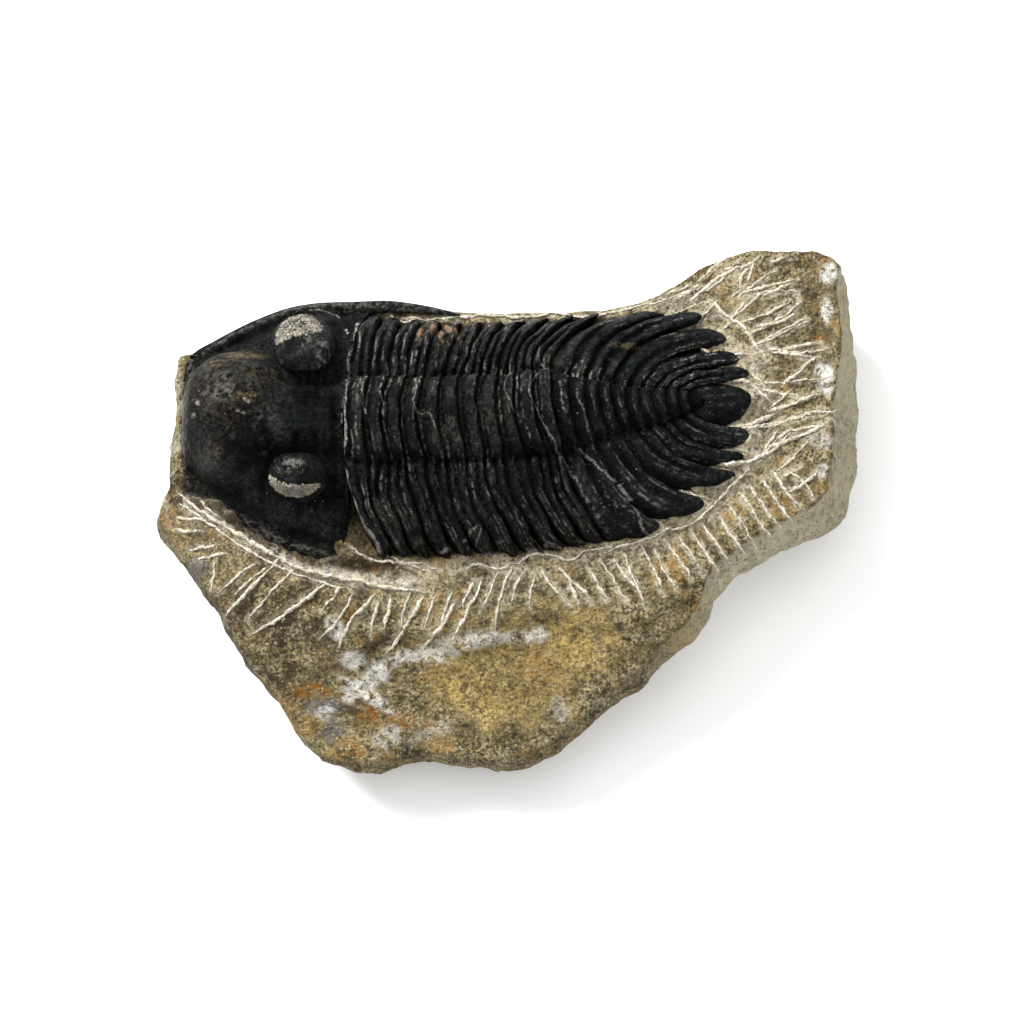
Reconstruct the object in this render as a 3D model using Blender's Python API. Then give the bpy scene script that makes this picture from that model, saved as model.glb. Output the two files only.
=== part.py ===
"""A spiny-tailed trilobite on its block of limestone.

The animal lies along X with its head at -X, and the block rests on its flat underside at Z = 0.
Lengths below are in millimetres; meshes are written in metres. A place on the animal is given by its
station (X along the body's midline) and its offset (to the animal's right, +Y, from that midline).
"""

import math

import bmesh
import bpy
import numpy as np
from mathutils import Vector, noise

MM = 0.001
GAP = 0.3

# The animal's main stations and sizes.
HEAD_FRONT = -39.9
THORAX_FRONT = -19.3
SEGMENT_COUNT = 11
SEGMENT_PITCH = 2.27
TAIL_FRONT = THORAX_FRONT + SEGMENT_COUNT * SEGMENT_PITCH
TAIL_AXIS_LENGTH = 17.5
AXIS_HALF_WIDTH = 5.2
LEFT_HALF_WIDTH = 15.6
RIGHT_HALF_WIDTH = 13.9
RIGHT_NARROWING = 0.15

# Heights above the table.
SHELL_FLOOR_Z = 21.3
RECESS_Z = SHELL_FLOOR_Z - GAP
MARGIN_Z = 22.3
CREST_Z = 34.0
TAIL_CREST_DROP = 8.6
AXIS_ARCH = 3.3

# World Y of the midline, at stations MIDLINE_STEP apart from MIDLINE_START on.
MIDLINE_START = -40.0
MIDLINE_STEP = 10.0
MIDLINE = [9.2, 9.0, 8.7, 8.6, 9.0, 10.3, 11.7, 12.8]

# A segment's profile from front to back, as (share of its length, relief on the axis, relief on the ribs).
SEGMENT_PROFILE = [
    (0.0, -0.75, -0.35), (0.25, -0.1, 0.2), (0.5, 0.2, -0.2), (0.75, 0.25, 0.22), (1.0, -0.3, -0.3),
]
TIP_NARROWING = 0.3

# How far the pleurae sweep back at their tips, at the first segment and at the tail.
LEFT_SWEEP = (3.3, 4.1)
RIGHT_SWEEP = (1.6, 8.6)
RING_BOW = 0.8

# The head's margin on each side, as (distance behind the front, offset from the midline).
HEAD_MARGIN_RIGHT = [
    (0.0, 0.0), (-0.1, 4.6), (0.2, 8.2), (1.3, 9.7), (3.4, 11.0), (5.6, 12.3), (8.4, 13.8), (11.9, 15.3),
    (15.5, 16.1), (19.8, 16.4), (22.9, 16.3), (24.4, 15.7),
]
HEAD_MARGIN_LEFT = [
    (0.0, 0.0), (-0.1, 4.4), (0.2, 8.2), (1.8, 9.0), (3.7, 9.6), (7.4, 11.9), (12.5, 14.5), (16.1, 15.5),
    (18.5, 16.2),
]
HEAD_MARGIN_STEPS = 24
HEAD_ROWS = 16
# The left rear corner is broken off, by this much at the margin.
BROKEN_CORNER = 4.9

# The dome at the front of the head, and the narrower lobes behind it.
DOME_CENTRE = 6.7
DOME_HALF_LENGTH = 7.2
DOME_HALF_WIDTH = 8.4
DOME_OFFSET = 0.3
DOME_BASE_Z = 25.0
DOME_HEIGHT = 9.8
NECK_HALF_WIDTH = 4.2
NECK_Z = 29.8
NECK_ARCH = 3.4
CHEEK_RISE = 6.6

# Rings of each eye's tower from its foot up, as (x, y, z, half length, half width).
RIGHT_EYE = [
    (-25.2, 18.2, 25.5, 4.1, 3.7), (-25.1, 17.6, 28.0, 3.9, 3.3), (-25.0, 16.4, 30.6, 3.5, 2.7),
    (-25.0, 15.6, 32.2, 3.0, 2.1), (-25.0, 15.4, 32.8, 2.1, 1.3),
]
LEFT_EYE = [
    (-25.6, 1.9, 25.5, 3.9, 2.9), (-25.5, 2.0, 28.0, 3.7, 2.7), (-25.4, 2.1, 30.6, 3.4, 2.4),
    (-25.4, 2.3, 32.2, 2.9, 1.9), (-25.4, 2.4, 32.8, 2.0, 1.2),
]
EYE_SIDES = 20
EYE_DENT = 0.16

# The spine at the head's right rear corner, as (x, y, z, half width).
GENAL_SPINE = [
    (-20.5, 24.0, 23.2, 0.75), (-15.6, 24.25, 23.2, 0.75), (-12.5, 24.1, 23.1, 0.62), (-9.5, 23.75, 23.0, 0.45),
    (-6.4, 23.3, 22.8, 0.18),
]
GENAL_SPINE_SIDES = 8

# The tail, as (distance behind its front, offset). Ribs are counted from 0; the last half is the end lobe.
TAIL_RIBS = 5.5
RIGHT_NOTCHES = [(8.8, 12.2), (14.1, 10.9), (15.7, 9.4), (17.9, 6.6), (20.2, 4.6), (19.5, 2.6)]
RIGHT_TIPS = [(14.4, 12.4), (18.6, 11.1), (21.1, 8.2), (22.6, 5.4), (23.4, 3.4)]
LEFT_NOTCHES = [(4.3, 15.8), (9.1, 13.4), (12.2, 10.2), (15.0, 7.6), (17.7, 5.7), (19.2, 3.4)]
LEFT_TIPS = [(9.7, 15.3), (15.5, 12.8), (20.0, 9.4), (21.9, 7.1), (22.8, 4.8)]
END_NOTCH = (21.4, 0.0)
END_TIP = (23.6, 0.0)
TAIL_ROWS_PER_RIB = 4
TAIL_AXIS_TAPER = 0.2

# The block's widest outline seen from above, from its left end and anticlockwise.
BLOCK_OUTLINE = [
    (-41.0, 9.4), (-41.1, 4.4), (-41.3, 2.6), (-42.6, 0.2), (-43.0, -2.2), (-41.2, -4.4), (-39.6, -6.6), (-37.6, -9.6),
    (-35.4, -13.0), (-33.9, -16.0), (-33.0, -18.4), (-30.9, -20.7), (-28.6, -23.1), (-26.9, -25.4),
    (-25.3, -27.7), (-23.2, -29.9), (-19.4, -30.8), (-16.0, -31.0), (-12.8, -30.2), (-9.4, -29.8),
    (-5.6, -30.4), (-1.8, -31.0), (1.2, -30.4), (3.4, -29.5), (6.2, -27.7), (9.6, -25.4), (12.6, -23.0),
    (15.7, -20.9), (17.5, -18.8), (19.3, -17.3), (22.4, -14.8), (24.2, -12.6), (24.6, -10.6), (26.1, -8.7),
    (29.7, -6.2), (34.0, -4.0), (38.2, -2.0), (41.1, 0.6), (42.2, 4.9), (42.5, 9.1), (42.2, 12.1),
    (42.6, 16.2), (43.3, 19.5), (43.0, 24.4), (42.2, 28.4), (40.6, 30.4), (37.2, 31.2), (33.6, 31.4),
    (29.6, 31.2), (26.8, 30.4), (23.5, 29.1), (21.0, 27.6), (18.4, 26.1), (15.6, 25.0), (11.6, 24.0),
    (5.4, 23.6), (-2.0, 23.5), (-8.0, 23.4), (-15.0, 23.4), (-22.0, 23.2), (-28.0, 21.9), (-33.6, 20.2),
    (-37.6, 18.8), (-40.6, 18.4), (-41.0, 15.6), (-40.6, 12.6),
]
BLOCK_SIZE = (86.4, 62.8)
# The edge of the shallow pit that the animal lies in.
PIT_OUTLINE = [
    (-40.5, 8.0), (-40.5, 3.0), (-39.6, 0.2), (-35.6, -2.6), (-30.8, -5.6), (-25.6, -8.0), (-20.4, -9.4),
    (-14.0, -9.7), (-6.0, -9.4), (2.0, -9.0), (8.0, -8.4), (15.4, -6.4), (21.0, -3.4), (25.6, 0.0),
    (28.9, 3.8), (30.6, 7.6), (31.0, 12.6), (30.4, 17.4), (28.0, 21.2), (24.4, 23.9), (20.0, 24.6),
    (12.0, 24.0), (3.0, 23.9), (-5.0, 25.6), (-12.0, 26.6), (-20.0, 26.8), (-28.0, 25.8), (-34.6, 23.0),
    (-39.0, 20.6), (-40.5, 17.0),
]
BLOCK_CORE = (-5.0, 9.0)
BLOCK_CORE_REACH = (24.0, 1.6)
BLOCK_SIDES = 96
BASE_INSET = 2.3
GROUND_Z = 22.2
PIT_LIP = 1.6
RIM_WIDTH = 0.6
# Rings of the block's flank, as (share of the top edge's inset, share of the base's, share of the height).
FLANK_RINGS = [
    (1.0, 0.0, 0.97), (0.5, 0.0, 0.84), (0.1, 0.0, 0.62), (0.0, 0.05, 0.4), (0.0, 0.3, 0.2), (0.0, 1.0, 0.0),
]
TOP_RINGS = [0.0, 0.07, 0.2, 0.36, 0.52, 0.68, 0.84]
STONE_RELIEF = 0.9

SHELL_COLOUR = (0.018, 0.019, 0.021, 1.0)
LIMESTONE_COLOUR = (0.30, 0.25, 0.16, 1.0)


def smooth(x, low, high):
    """0 below low, 1 above high and an even S-curve between."""
    t = np.clip((np.asarray(x, float) - low) / (high - low), 0.0, 1.0)
    return t * t * (3.0 - 2.0 * t)


def smooth_max(a, b, softness):
    """The larger of two heights, with a fillet of that softness where they cross."""
    h = np.clip(0.5 + 0.5 * (a - b) / softness, 0.0, 1.0)
    return b + (a - b) * h + softness * h * (1.0 - h)


def through(points, at):
    """A smooth curve through points, read at the positions 0, 1, 2 and so on, or between them."""
    p = np.asarray(points, float)
    p = np.vstack([2.0 * p[0] - p[1], p, 2.0 * p[-1] - p[-2]])
    at = np.clip(np.asarray(at, float), 0.0, len(p) - 3.0)
    i = np.minimum(at.astype(int), len(p) - 4)
    f = (at - i)[..., None]
    a, b, c, d = p[i], p[i + 1], p[i + 2], p[i + 3]
    return 0.5 * (2 * b + (c - a) * f + (2 * a - 5 * b + 4 * c - d) * f**2 + (3 * b - a - 3 * c + d) * f**3)


def midline(station):
    """World Y of the animal's midline at a station."""
    points = np.column_stack([MIDLINE, MIDLINE])
    return through(points, (np.asarray(station, float) - MIDLINE_START) / MIDLINE_STEP)[..., 0]


def place(station, offset):
    """World X and Y of a place on the animal."""
    slope = midline(station + 0.5) - midline(station - 0.5)
    turn = 1.0 / np.sqrt(1.0 + slope**2)
    return station - offset * slope * turn, midline(station) + offset * turn


def crest(station):
    """Height of the animal's back at a station."""
    return CREST_Z - TAIL_CREST_DROP * smooth(station, TAIL_FRONT - 6.0, TAIL_FRONT + 24.0)


def arch(across):
    """Rise of an arched ring, from 0 at its edges (across = -1 and 1) to 1 in the middle."""
    return np.maximum(0.0, 1.0 - np.asarray(across) ** 2) ** 0.6


def pleural_share(offset, index):
    """0 on the axis, growing to 1 at the tips of the segment with that index."""
    half_width = np.where(offset > 0.0, RIGHT_HALF_WIDTH - RIGHT_NARROWING * index, LEFT_HALF_WIDTH)
    return np.clip((np.abs(offset) - AXIS_HALF_WIDTH) / (half_width - AXIS_HALF_WIDTH), 0.0, 1.0)


def thorax_height(station, offset, index):
    """The smooth back of the thorax, before its rings and ridges."""
    v = pleural_share(offset, index)
    shoulder = crest(station) - AXIS_ARCH
    flank = MARGIN_Z + (shoulder - MARGIN_Z) * (1.0 - 0.1 * v - 0.9 * v**4)
    return flank + AXIS_ARCH * arch(offset / AXIS_HALF_WIDTH)


def sweep(offset, index):
    """How far a segment's line lies behind its place at the furrow beside the axis."""
    along = max(0.0, index / SEGMENT_COUNT) ** 1.5
    right = RIGHT_SWEEP[0] + (RIGHT_SWEEP[1] - RIGHT_SWEEP[0]) * along
    left = LEFT_SWEEP[0] + (LEFT_SWEEP[1] - LEFT_SWEEP[0]) * along
    bow = RING_BOW * np.maximum(0.0, 1.0 - (offset / AXIS_HALF_WIDTH) ** 2)
    return np.where(offset > 0.0, right, left) * pleural_share(offset, index) ** 2 - bow


def closed_solid(name, rows, floor_z, material, folded=False):
    """A solid whose top is a grid of points and whose flat underside lies at floor_z.

    The last row of a folded grid runs out along the midline and comes back, so it isn't an edge.
    """
    mesh = bmesh.new()
    top = [[mesh.verts.new([c * MM for c in p]) for p in row] for row in rows]
    for near, far in zip(top, top[1:]):
        for a, b, c, d in zip(near, near[1:], far[1:], far):
            mesh.faces.new((a, b, c, d))
    far_edge = top[-1][:1] if folded else top[-1][::-1]
    edge = top[0] + [r[-1] for r in top[1:-1]] + far_edge + [r[0] for r in top[-2:0:-1]]
    foot = [mesh.verts.new((v.co.x, v.co.y, floor_z * MM)) for v in edge]
    count = len(edge)
    for i in range(count):
        j = (i + 1) % count
        mesh.faces.new((edge[j], edge[i], foot[i], foot[j]))
    mesh.faces.new(foot)
    bmesh.ops.remove_doubles(mesh, verts=mesh.verts, dist=0.02 * MM)
    bmesh.ops.dissolve_degenerate(mesh, edges=mesh.edges, dist=0.01 * MM)
    bmesh.ops.triangulate(mesh, faces=mesh.faces)
    bmesh.ops.recalc_face_normals(mesh, faces=mesh.faces)
    return finish(name, mesh, material)


def finish(name, mesh, material):
    """Makes the object of a mesh, with its material."""
    data = bpy.data.meshes.new(name)
    mesh.to_mesh(data)
    mesh.free()
    data.materials.append(material)
    piece = bpy.data.objects.new(name, data)
    bpy.context.scene.collection.objects.link(piece)
    return piece


def principled(name, colour, roughness):
    """A plain material of that colour and roughness."""
    material = bpy.data.materials.new(name)
    material.use_nodes = True
    shader = material.node_tree.nodes["Principled BSDF"]
    shader.inputs["Base Color"].default_value = colour
    shader.inputs["Roughness"].default_value = roughness
    shader.inputs["Metallic"].default_value = 0.0
    return material


def both_sides(half):
    """A row of positions from -1 to 1, from the half that runs from 0 to 1."""
    return np.array([-x for x in half[:0:-1]] + list(half))


def thorax_segment(index, material):
    """One ring of the thorax with its two ribs, each of which has a furrow along it."""
    across = both_sides([0.0, 0.13, 0.25, 0.33, 0.38, 0.46, 0.6, 0.72, 0.83, 0.92, 1.0])
    right = RIGHT_HALF_WIDTH - RIGHT_NARROWING * index
    offset = across * np.where(across > 0.0, right, LEFT_HALF_WIDTH)
    outer = pleural_share(offset, index) ** 2
    front = THORAX_FRONT + SEGMENT_PITCH * index + GAP / 2
    length = SEGMENT_PITCH - GAP
    on_axis = np.abs(offset) < AXIS_HALF_WIDTH
    rows = []
    for share, ring, rib in SEGMENT_PROFILE:
        narrowed = 0.5 + (share - 0.5) * (1.0 - TIP_NARROWING * outer)
        station = front + length * narrowed + sweep(offset, index)
        relief = np.where(on_axis, ring, rib * (1.0 - 0.6 * outer))
        x, y = place(station, offset)
        rows.append(np.stack([x, y, thorax_height(station, offset, index) + relief], axis=-1))
    return closed_solid(f"thorax_segment_{index + 1:02d}", rows, SHELL_FLOOR_Z, material)


def head_margin():
    """The head's margin from its left rear corner round the front to its right one, as stations and offsets."""
    at = np.linspace(0.0, len(HEAD_MARGIN_LEFT) - 1.0, HEAD_MARGIN_STEPS)
    left = through(HEAD_MARGIN_LEFT, at) * (1.0, -1.0)
    right = through(HEAD_MARGIN_RIGHT, at)
    return np.vstack([left[:0:-1], right]) + (HEAD_FRONT, 0.0)


def head_height(station, offset, margin):
    """Height of the head: cheeks, the dome, the lobes behind it, and the furrows between them."""
    s = station - HEAD_FRONT
    distance = np.min(np.hypot(station[..., None] - margin[:, 0], offset[..., None] - margin[:, 1]), axis=-1)
    cheek = MARGIN_Z + 0.2 + CHEEK_RISE * (1.0 - np.exp(-((distance / 5.5) ** 1.3)))
    cheek = cheek - 0.5 * np.exp(-(((s - 19.2) / 0.7) ** 2)) * smooth(np.abs(offset), 4.0, 6.0)
    along, out = (s - DOME_CENTRE) / DOME_HALF_LENGTH, (offset - DOME_OFFSET) / DOME_HALF_WIDTH
    dome_plan = 1.0 - along**2 - out**2
    dome = DOME_BASE_Z + DOME_HEIGHT * np.sign(dome_plan) * np.abs(dome_plan) ** 0.5
    behind = smooth(s, 9.0, 12.0)
    neck_width = NECK_HALF_WIDTH + 1.0 * smooth(s, 18.0, 20.5)
    neck = NECK_Z + NECK_ARCH * arch(np.clip(offset / neck_width, -1.0, 1.0)) - 8.0 * (1.0 - behind)
    for furrow, depth, reach in [(13.8, 0.8, 1.6), (16.2, 0.7, 1.6), (19.1, 1.1, -1.0)]:
        neck = neck - depth * np.exp(-(((s - furrow) / 0.6) ** 2)) * smooth(np.abs(offset), reach, reach + 1.0)
    neck = np.where(np.abs(offset) < neck_width, neck, MARGIN_Z)
    height = smooth_max(smooth_max(cheek, dome, 0.8), neck, 0.6)
    roll = np.clip(distance / 2.0, 0.0, 1.0)
    return MARGIN_Z + (height - MARGIN_Z) * np.sqrt(1.0 - (1.0 - roll) ** 2)


def eye_tower(rings, outward):
    """A bean-shaped eye with sloping sides and a rounded top; its dented side faces the midline."""
    mesh = bmesh.new()
    loops = []
    for x, y, z, half_length, half_width in rings:
        loop = []
        for i in range(EYE_SIDES):
            turn = 2.0 * math.pi * i / EYE_SIDES
            dent = 1.0 - EYE_DENT * max(0.0, -math.sin(turn)) ** 4
            along = half_length * math.cos(turn)
            out = outward * half_width * dent * math.sin(turn)
            loop.append(mesh.verts.new(Vector((x + along, y + out, z)) * MM))
        loops.append(loop)
    for low, high in zip(loops, loops[1:]):
        for i in range(EYE_SIDES):
            j = (i + 1) % EYE_SIDES
            mesh.faces.new((low[i], low[j], high[j], high[i]))
    mesh.faces.new(loops[-1])
    mesh.faces.new(loops[0][::-1])
    bmesh.ops.triangulate(mesh, faces=mesh.faces)
    bmesh.ops.recalc_face_normals(mesh, faces=mesh.faces)
    return mesh


def spine_cone():
    """The tapered spine that trails from the head's right rear corner."""
    mesh = bmesh.new()
    rings = []
    for x, y, z, half_width in GENAL_SPINE:
        ring = []
        for i in range(GENAL_SPINE_SIDES):
            turn = 2.0 * math.pi * i / GENAL_SPINE_SIDES
            at = Vector((x, y + half_width * math.cos(turn), z + 1.1 * half_width * math.sin(turn)))
            ring.append(mesh.verts.new(at * MM))
        rings.append(ring)
    for near, far in zip(rings, rings[1:]):
        for i in range(GENAL_SPINE_SIDES):
            j = (i + 1) % GENAL_SPINE_SIDES
            mesh.faces.new((near[i], far[i], far[j], near[j]))
    mesh.faces.new(rings[0])
    mesh.faces.new(rings[-1][::-1])
    bmesh.ops.triangulate(mesh, faces=mesh.faces)
    bmesh.ops.recalc_face_normals(mesh, faces=mesh.faces)
    return mesh


def join_by_union(piece, mesh, name, material):
    """Adds a closed mesh to a piece, as one solid."""
    tool = finish(name, mesh, material)
    tool.hide_render = True
    tool.display_type = "WIRE"
    union = piece.modifiers.new(name, "BOOLEAN")
    union.operation = "UNION"
    union.object = tool


def cephalon(material):
    """The head shield, with its dome, eyes and right genal spine."""
    margin = head_margin()
    across = both_sides(np.linspace(0.0, 1.0, HEAD_MARGIN_STEPS))
    rear_offset = np.where(across < 0, across * HEAD_MARGIN_LEFT[-1][1], across * HEAD_MARGIN_RIGHT[-1][1])
    rear_station = THORAX_FRONT - GAP / 2 + sweep(rear_offset, 0)
    rear_station = rear_station - BROKEN_CORNER * np.maximum(0.0, -across) ** 3
    rear_station[0], rear_station[-1] = margin[0, 0], margin[-1, 0]
    rows = []
    for share in np.linspace(0.0, 1.0, HEAD_ROWS) ** 0.9:
        station = margin[:, 0] + (rear_station - margin[:, 0]) * share
        offset = margin[:, 1] + (rear_offset - margin[:, 1]) * share
        x, y = place(station, offset)
        rows.append(np.stack([x, y, head_height(station, offset, margin)], axis=-1))
    piece = closed_solid("cephalon", rows, SHELL_FLOOR_Z, material)
    join_by_union(piece, eye_tower(RIGHT_EYE, 1.0), "right_eye_form", material)
    join_by_union(piece, eye_tower(LEFT_EYE, -1.0), "left_eye_form", material)
    join_by_union(piece, spine_cone(), "genal_spine_form", material)
    return piece


def tail_axis_half_width(distance):
    """Half width of the tail's axis, which tapers to a blunt end."""
    share = np.clip(distance / TAIL_AXIS_LENGTH, 0.0, 1.0)
    return (AXIS_HALF_WIDTH - TAIL_AXIS_TAPER * distance) * np.sqrt(1.0 - share**6)


def tail_margin(rib, notches, tips):
    """One side's margin at a rib position, out to the spine's tip in the middle of each rib."""
    notch = through([*notches, END_NOTCH], rib if rib <= 5.0 else 5.0 + 2.0 * (rib - 5.0))
    tip = through([*tips, END_TIP], max(rib - 0.5, 0.0))
    centred = abs(2.0 * (rib % 1.0) - 1.0)
    return notch + (tip - notch) * max(0.0, 1.0 - centred**2.5) ** 0.7


def tail_side(rib, side, start, half, end):
    """A line from the furrow beside the axis out to the margin, as distances and offsets."""
    v = np.array([1.0, 0.93, 0.82, 0.66, 0.48, 0.3, 0.12, 0.0])[:, None]
    bend = np.array([start + 0.2 * (end[0] - start), half + 0.9 * (end[1] - half)])
    line = (1.0 - v) ** 2 * np.array([start, half]) + 2.0 * v * (1.0 - v) * bend + v**2 * end
    offset = half + (end[1] - half) * v[:, 0]
    front = np.column_stack([start + sweep(side * offset, SEGMENT_COUNT), offset])
    return v[:, 0], line + (front - line) * max(0.0, 1.0 - rib)


def tail_row(rib, relief_ring, relief_rib):
    """One line of the tail, from its left margin over the axis to its right margin."""
    start = TAIL_AXIS_LENGTH * (rib / TAIL_RIBS) ** 0.9
    half = float(tail_axis_half_width(start))
    late = rib / TAIL_RIBS
    blunt = np.sqrt(max(0.0, 1.0 - late**8))
    arch_height = AXIS_ARCH * (1.0 - 0.45 * late)
    shoulder = float(crest(TAIL_FRONT + start)) - arch_height
    rim = MARGIN_Z + 0.9 * (1.0 - abs(2.0 * (rib % 1.0) - 1.0))
    sides = {}
    for side, notches, tips in [(-1.0, LEFT_NOTCHES, LEFT_TIPS), (1.0, RIGHT_NOTCHES, RIGHT_TIPS)]:
        v, line = tail_side(rib, side, start, half, tail_margin(rib, notches, tips))
        z = rim + (shoulder - rim) * (1.0 - 0.3 * v - 0.7 * v**3)
        z = z + relief_rib * smooth(1.0 - v, 0.0, 0.3) * smooth(v, 0.0, 0.1)
        sides[side] = (line[:, 0], side * line[:, 1], z)
    share = np.array([-0.7, -0.35, 0.0, 0.35, 0.7])
    axis_s = start - RING_BOW * (half / AXIS_HALF_WIDTH) * (1.0 - share**2)
    axis_z = shoulder + (arch_height * arch(share) + relief_ring) * blunt
    distance = np.concatenate([sides[-1.0][0], axis_s, sides[1.0][0][::-1]])
    offset = np.concatenate([sides[-1.0][1], share * half, sides[1.0][1][::-1]])
    height = np.concatenate([sides[-1.0][2], axis_z, sides[1.0][2][::-1]])
    x, y = place(TAIL_FRONT + GAP / 2 + distance, offset)
    return np.stack([x, y, height], axis=-1)


def pygidium(material):
    """The tail shield: a ringed axis, and ribs that run out into blunt spines."""
    rows = []
    for step in range(int(TAIL_RIBS * TAIL_ROWS_PER_RIB) + 1):
        raised = step % 2 == 1
        rows.append(tail_row(step / TAIL_ROWS_PER_RIB, 0.2 if raised else -0.3, 0.25 if raised else -0.2))
    return closed_solid("pygidium", rows, SHELL_FLOOR_Z, material, folded=True)


def ray_lengths(outline, starts, directions):
    """How far each ray runs from inside a closed outline until it meets it."""
    a = np.asarray(outline, float)
    edge = np.roll(a, -1, axis=0) - a
    lengths = []
    for start, direction in zip(starts, directions):
        apart = a - start
        cross = direction[0] * edge[:, 1] - direction[1] * edge[:, 0]
        cross = np.where(np.abs(cross) < 1e-9, 1e-9, cross)
        along = (apart[:, 0] * edge[:, 1] - apart[:, 1] * edge[:, 0]) / cross
        share = (apart[:, 0] * direction[1] - apart[:, 1] * direction[0]) / cross
        lengths.append(np.max(along[(share >= 0.0) & (share <= 1.0)]))
    return np.array(lengths)


def ground(x, y):
    """Height of the block's broken top, which falls away towards -Y in a long slope with a ledge."""
    fall = np.maximum(0.0, -9.0 - y)
    ledge = -15.5 + 0.12 * x + 1.5 * np.sin(0.35 * x)
    height = GROUND_Z - 9.5 * (1.0 - np.exp(-((fall / 15.0) ** 1.6)))
    height = height - 0.9 * smooth(ledge - y, -0.6, 0.8)
    height = height + 1.3 * smooth(x, 27.0, 36.0) * smooth(y, 4.0, 18.0)
    height = height - 1.2 * smooth(x, 22.0, 42.0) * smooth(-y, -8.0, 6.0)
    return height - 0.8 * smooth(-x, 30.0, 42.0)


def roughness(points):
    """Broken relief of the stone at each point."""
    return np.array([noise.fractal(Vector(p) / 9.0, 1.0, 2.0, 3) for p in points])


def top_inset(direction):
    """How far the block's top edge lies inside its widest outline: most at its right end, least at the back."""
    right, back = np.maximum(direction[:, 0], 0.0), np.maximum(direction[:, 1], 0.0)
    left = np.maximum(-direction[:, 0], 0.0)
    return 1.9 - 1.7 * back + 1.6 * right**3 * (1.0 - back) - 0.9 * left


def matrix_block(material):
    """The block of limestone, with the pit that the animal lies in and a flat underside."""
    turn = 2.0 * math.pi * np.arange(BLOCK_SIDES) / BLOCK_SIDES
    direction = np.stack([np.cos(turn), np.sin(turn)], axis=-1)
    start = np.array(BLOCK_CORE) + np.cos(turn)[:, None] * np.array(BLOCK_CORE_REACH)
    widest = ray_lengths(BLOCK_OUTLINE, start, direction)
    rim = widest - top_inset(direction)
    pit_edge = ray_lengths(PIT_OUTLINE, start, direction)
    pit = np.minimum(pit_edge, rim - RIM_WIDTH)
    open_side = smooth(rim - pit_edge, -0.8, 0.6)

    rings = [np.column_stack([start + direction * 0.55 * pit[:, None], np.full(BLOCK_SIDES, RECESS_Z)])]
    for share in TOP_RINGS:
        reach = pit + (rim - pit) * share
        at = start + direction * reach[:, None]
        over_pit = smooth(reach - pit, 0.0, PIT_LIP) * open_side
        rough = STONE_RELIEF * roughness(np.column_stack([at, np.full(BLOCK_SIDES, GROUND_Z)]))
        z = RECESS_Z + (ground(at[:, 0], at[:, 1]) + rough - RECESS_Z) * over_pit
        rings.append(np.column_stack([at, z]))
    top_z = rings[-1][:, 2]
    for top_share, base_share, height_share in FLANK_RINGS:
        inset = top_inset(direction) * top_share + BASE_INSET * base_share
        at = start + direction * (widest - inset)[:, None]
        z = top_z * height_share
        push = STONE_RELIEF * roughness(np.column_stack([at, z])) * (height_share > 0.0)
        rings.append(np.column_stack([at + direction * push[:, None], z]))

    points = np.array(rings)
    low, high = points[..., :2].min(axis=(0, 1)), points[..., :2].max(axis=(0, 1))
    points[..., :2] = (points[..., :2] - (low + high) / 2.0) * np.array(BLOCK_SIZE) / (high - low)

    mesh = bmesh.new()
    loops = [[mesh.verts.new(Vector(p) * MM) for p in ring] for ring in points]
    for inner, outer in zip(loops, loops[1:]):
        for i in range(BLOCK_SIDES):
            j = (i + 1) % BLOCK_SIDES
            mesh.faces.new((inner[i], outer[i], outer[j], inner[j]))
    mesh.faces.new(loops[0])
    mesh.faces.new(loops[-1][::-1])
    bmesh.ops.triangulate(mesh, faces=mesh.faces)
    bmesh.ops.recalc_face_normals(mesh, faces=mesh.faces)
    return finish("matrix_block", mesh, material)


def main():
    for old in list(bpy.data.objects):
        bpy.data.objects.remove(old)
    shell = principled("fossil_shell", SHELL_COLOUR, 0.42)
    limestone = principled("limestone", LIMESTONE_COLOUR, 0.9)
    matrix_block(limestone)
    cephalon(shell)
    for index in range(SEGMENT_COUNT):
        thorax_segment(index, shell)
    pygidium(shell)


main()
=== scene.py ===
import itertools
import logging
import math
from collections.abc import Iterable
from dataclasses import dataclass, field
from enum import Enum

import bmesh
import bpy
import numpy as np
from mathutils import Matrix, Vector, noise


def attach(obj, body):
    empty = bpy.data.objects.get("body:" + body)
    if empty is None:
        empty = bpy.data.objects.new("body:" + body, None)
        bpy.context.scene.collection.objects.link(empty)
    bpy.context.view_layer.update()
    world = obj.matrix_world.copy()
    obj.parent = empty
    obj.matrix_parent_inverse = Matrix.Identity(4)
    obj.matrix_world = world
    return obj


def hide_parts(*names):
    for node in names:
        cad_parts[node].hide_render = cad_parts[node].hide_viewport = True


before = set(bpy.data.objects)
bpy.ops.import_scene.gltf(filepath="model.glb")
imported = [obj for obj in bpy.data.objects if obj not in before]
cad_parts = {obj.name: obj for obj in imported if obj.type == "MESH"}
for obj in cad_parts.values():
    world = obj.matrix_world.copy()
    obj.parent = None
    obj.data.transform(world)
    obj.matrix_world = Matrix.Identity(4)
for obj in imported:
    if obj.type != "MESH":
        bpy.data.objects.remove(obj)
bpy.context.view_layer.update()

LOG = logging.getLogger("trilobite")
MM = 0.001
Array = np.ndarray
Pair = tuple[float, float]
Colour = tuple[float, float, float]
Path = tuple[Pair, ...]
Table = tuple[tuple[float, ...], ...]
Material = bpy.types.Material
Object = bpy.types.Object
Socket = bpy.types.NodeSocket
Tree = bpy.types.NodeTree
Outputs = bpy.types.NodeOutputs

THORAX_COUNT = 11
SHELL_SLOT = "black_shell"
STONE_SLOT = "limestone_matrix"
SOCKETS = {tuple: "NodeSocketColor", float: "NodeSocketFloat", int: "NodeSocketInt"}


# Numbers and curves that every piece shares.


def smooth(x: Array | float, low: float, high: float) -> Array:
    """0 below low, 1 above high and an even S-curve between."""
    t = unit((np.asarray(x, float) - low) / (high - low))
    return t * t * (3.0 - 2.0 * t)


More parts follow.
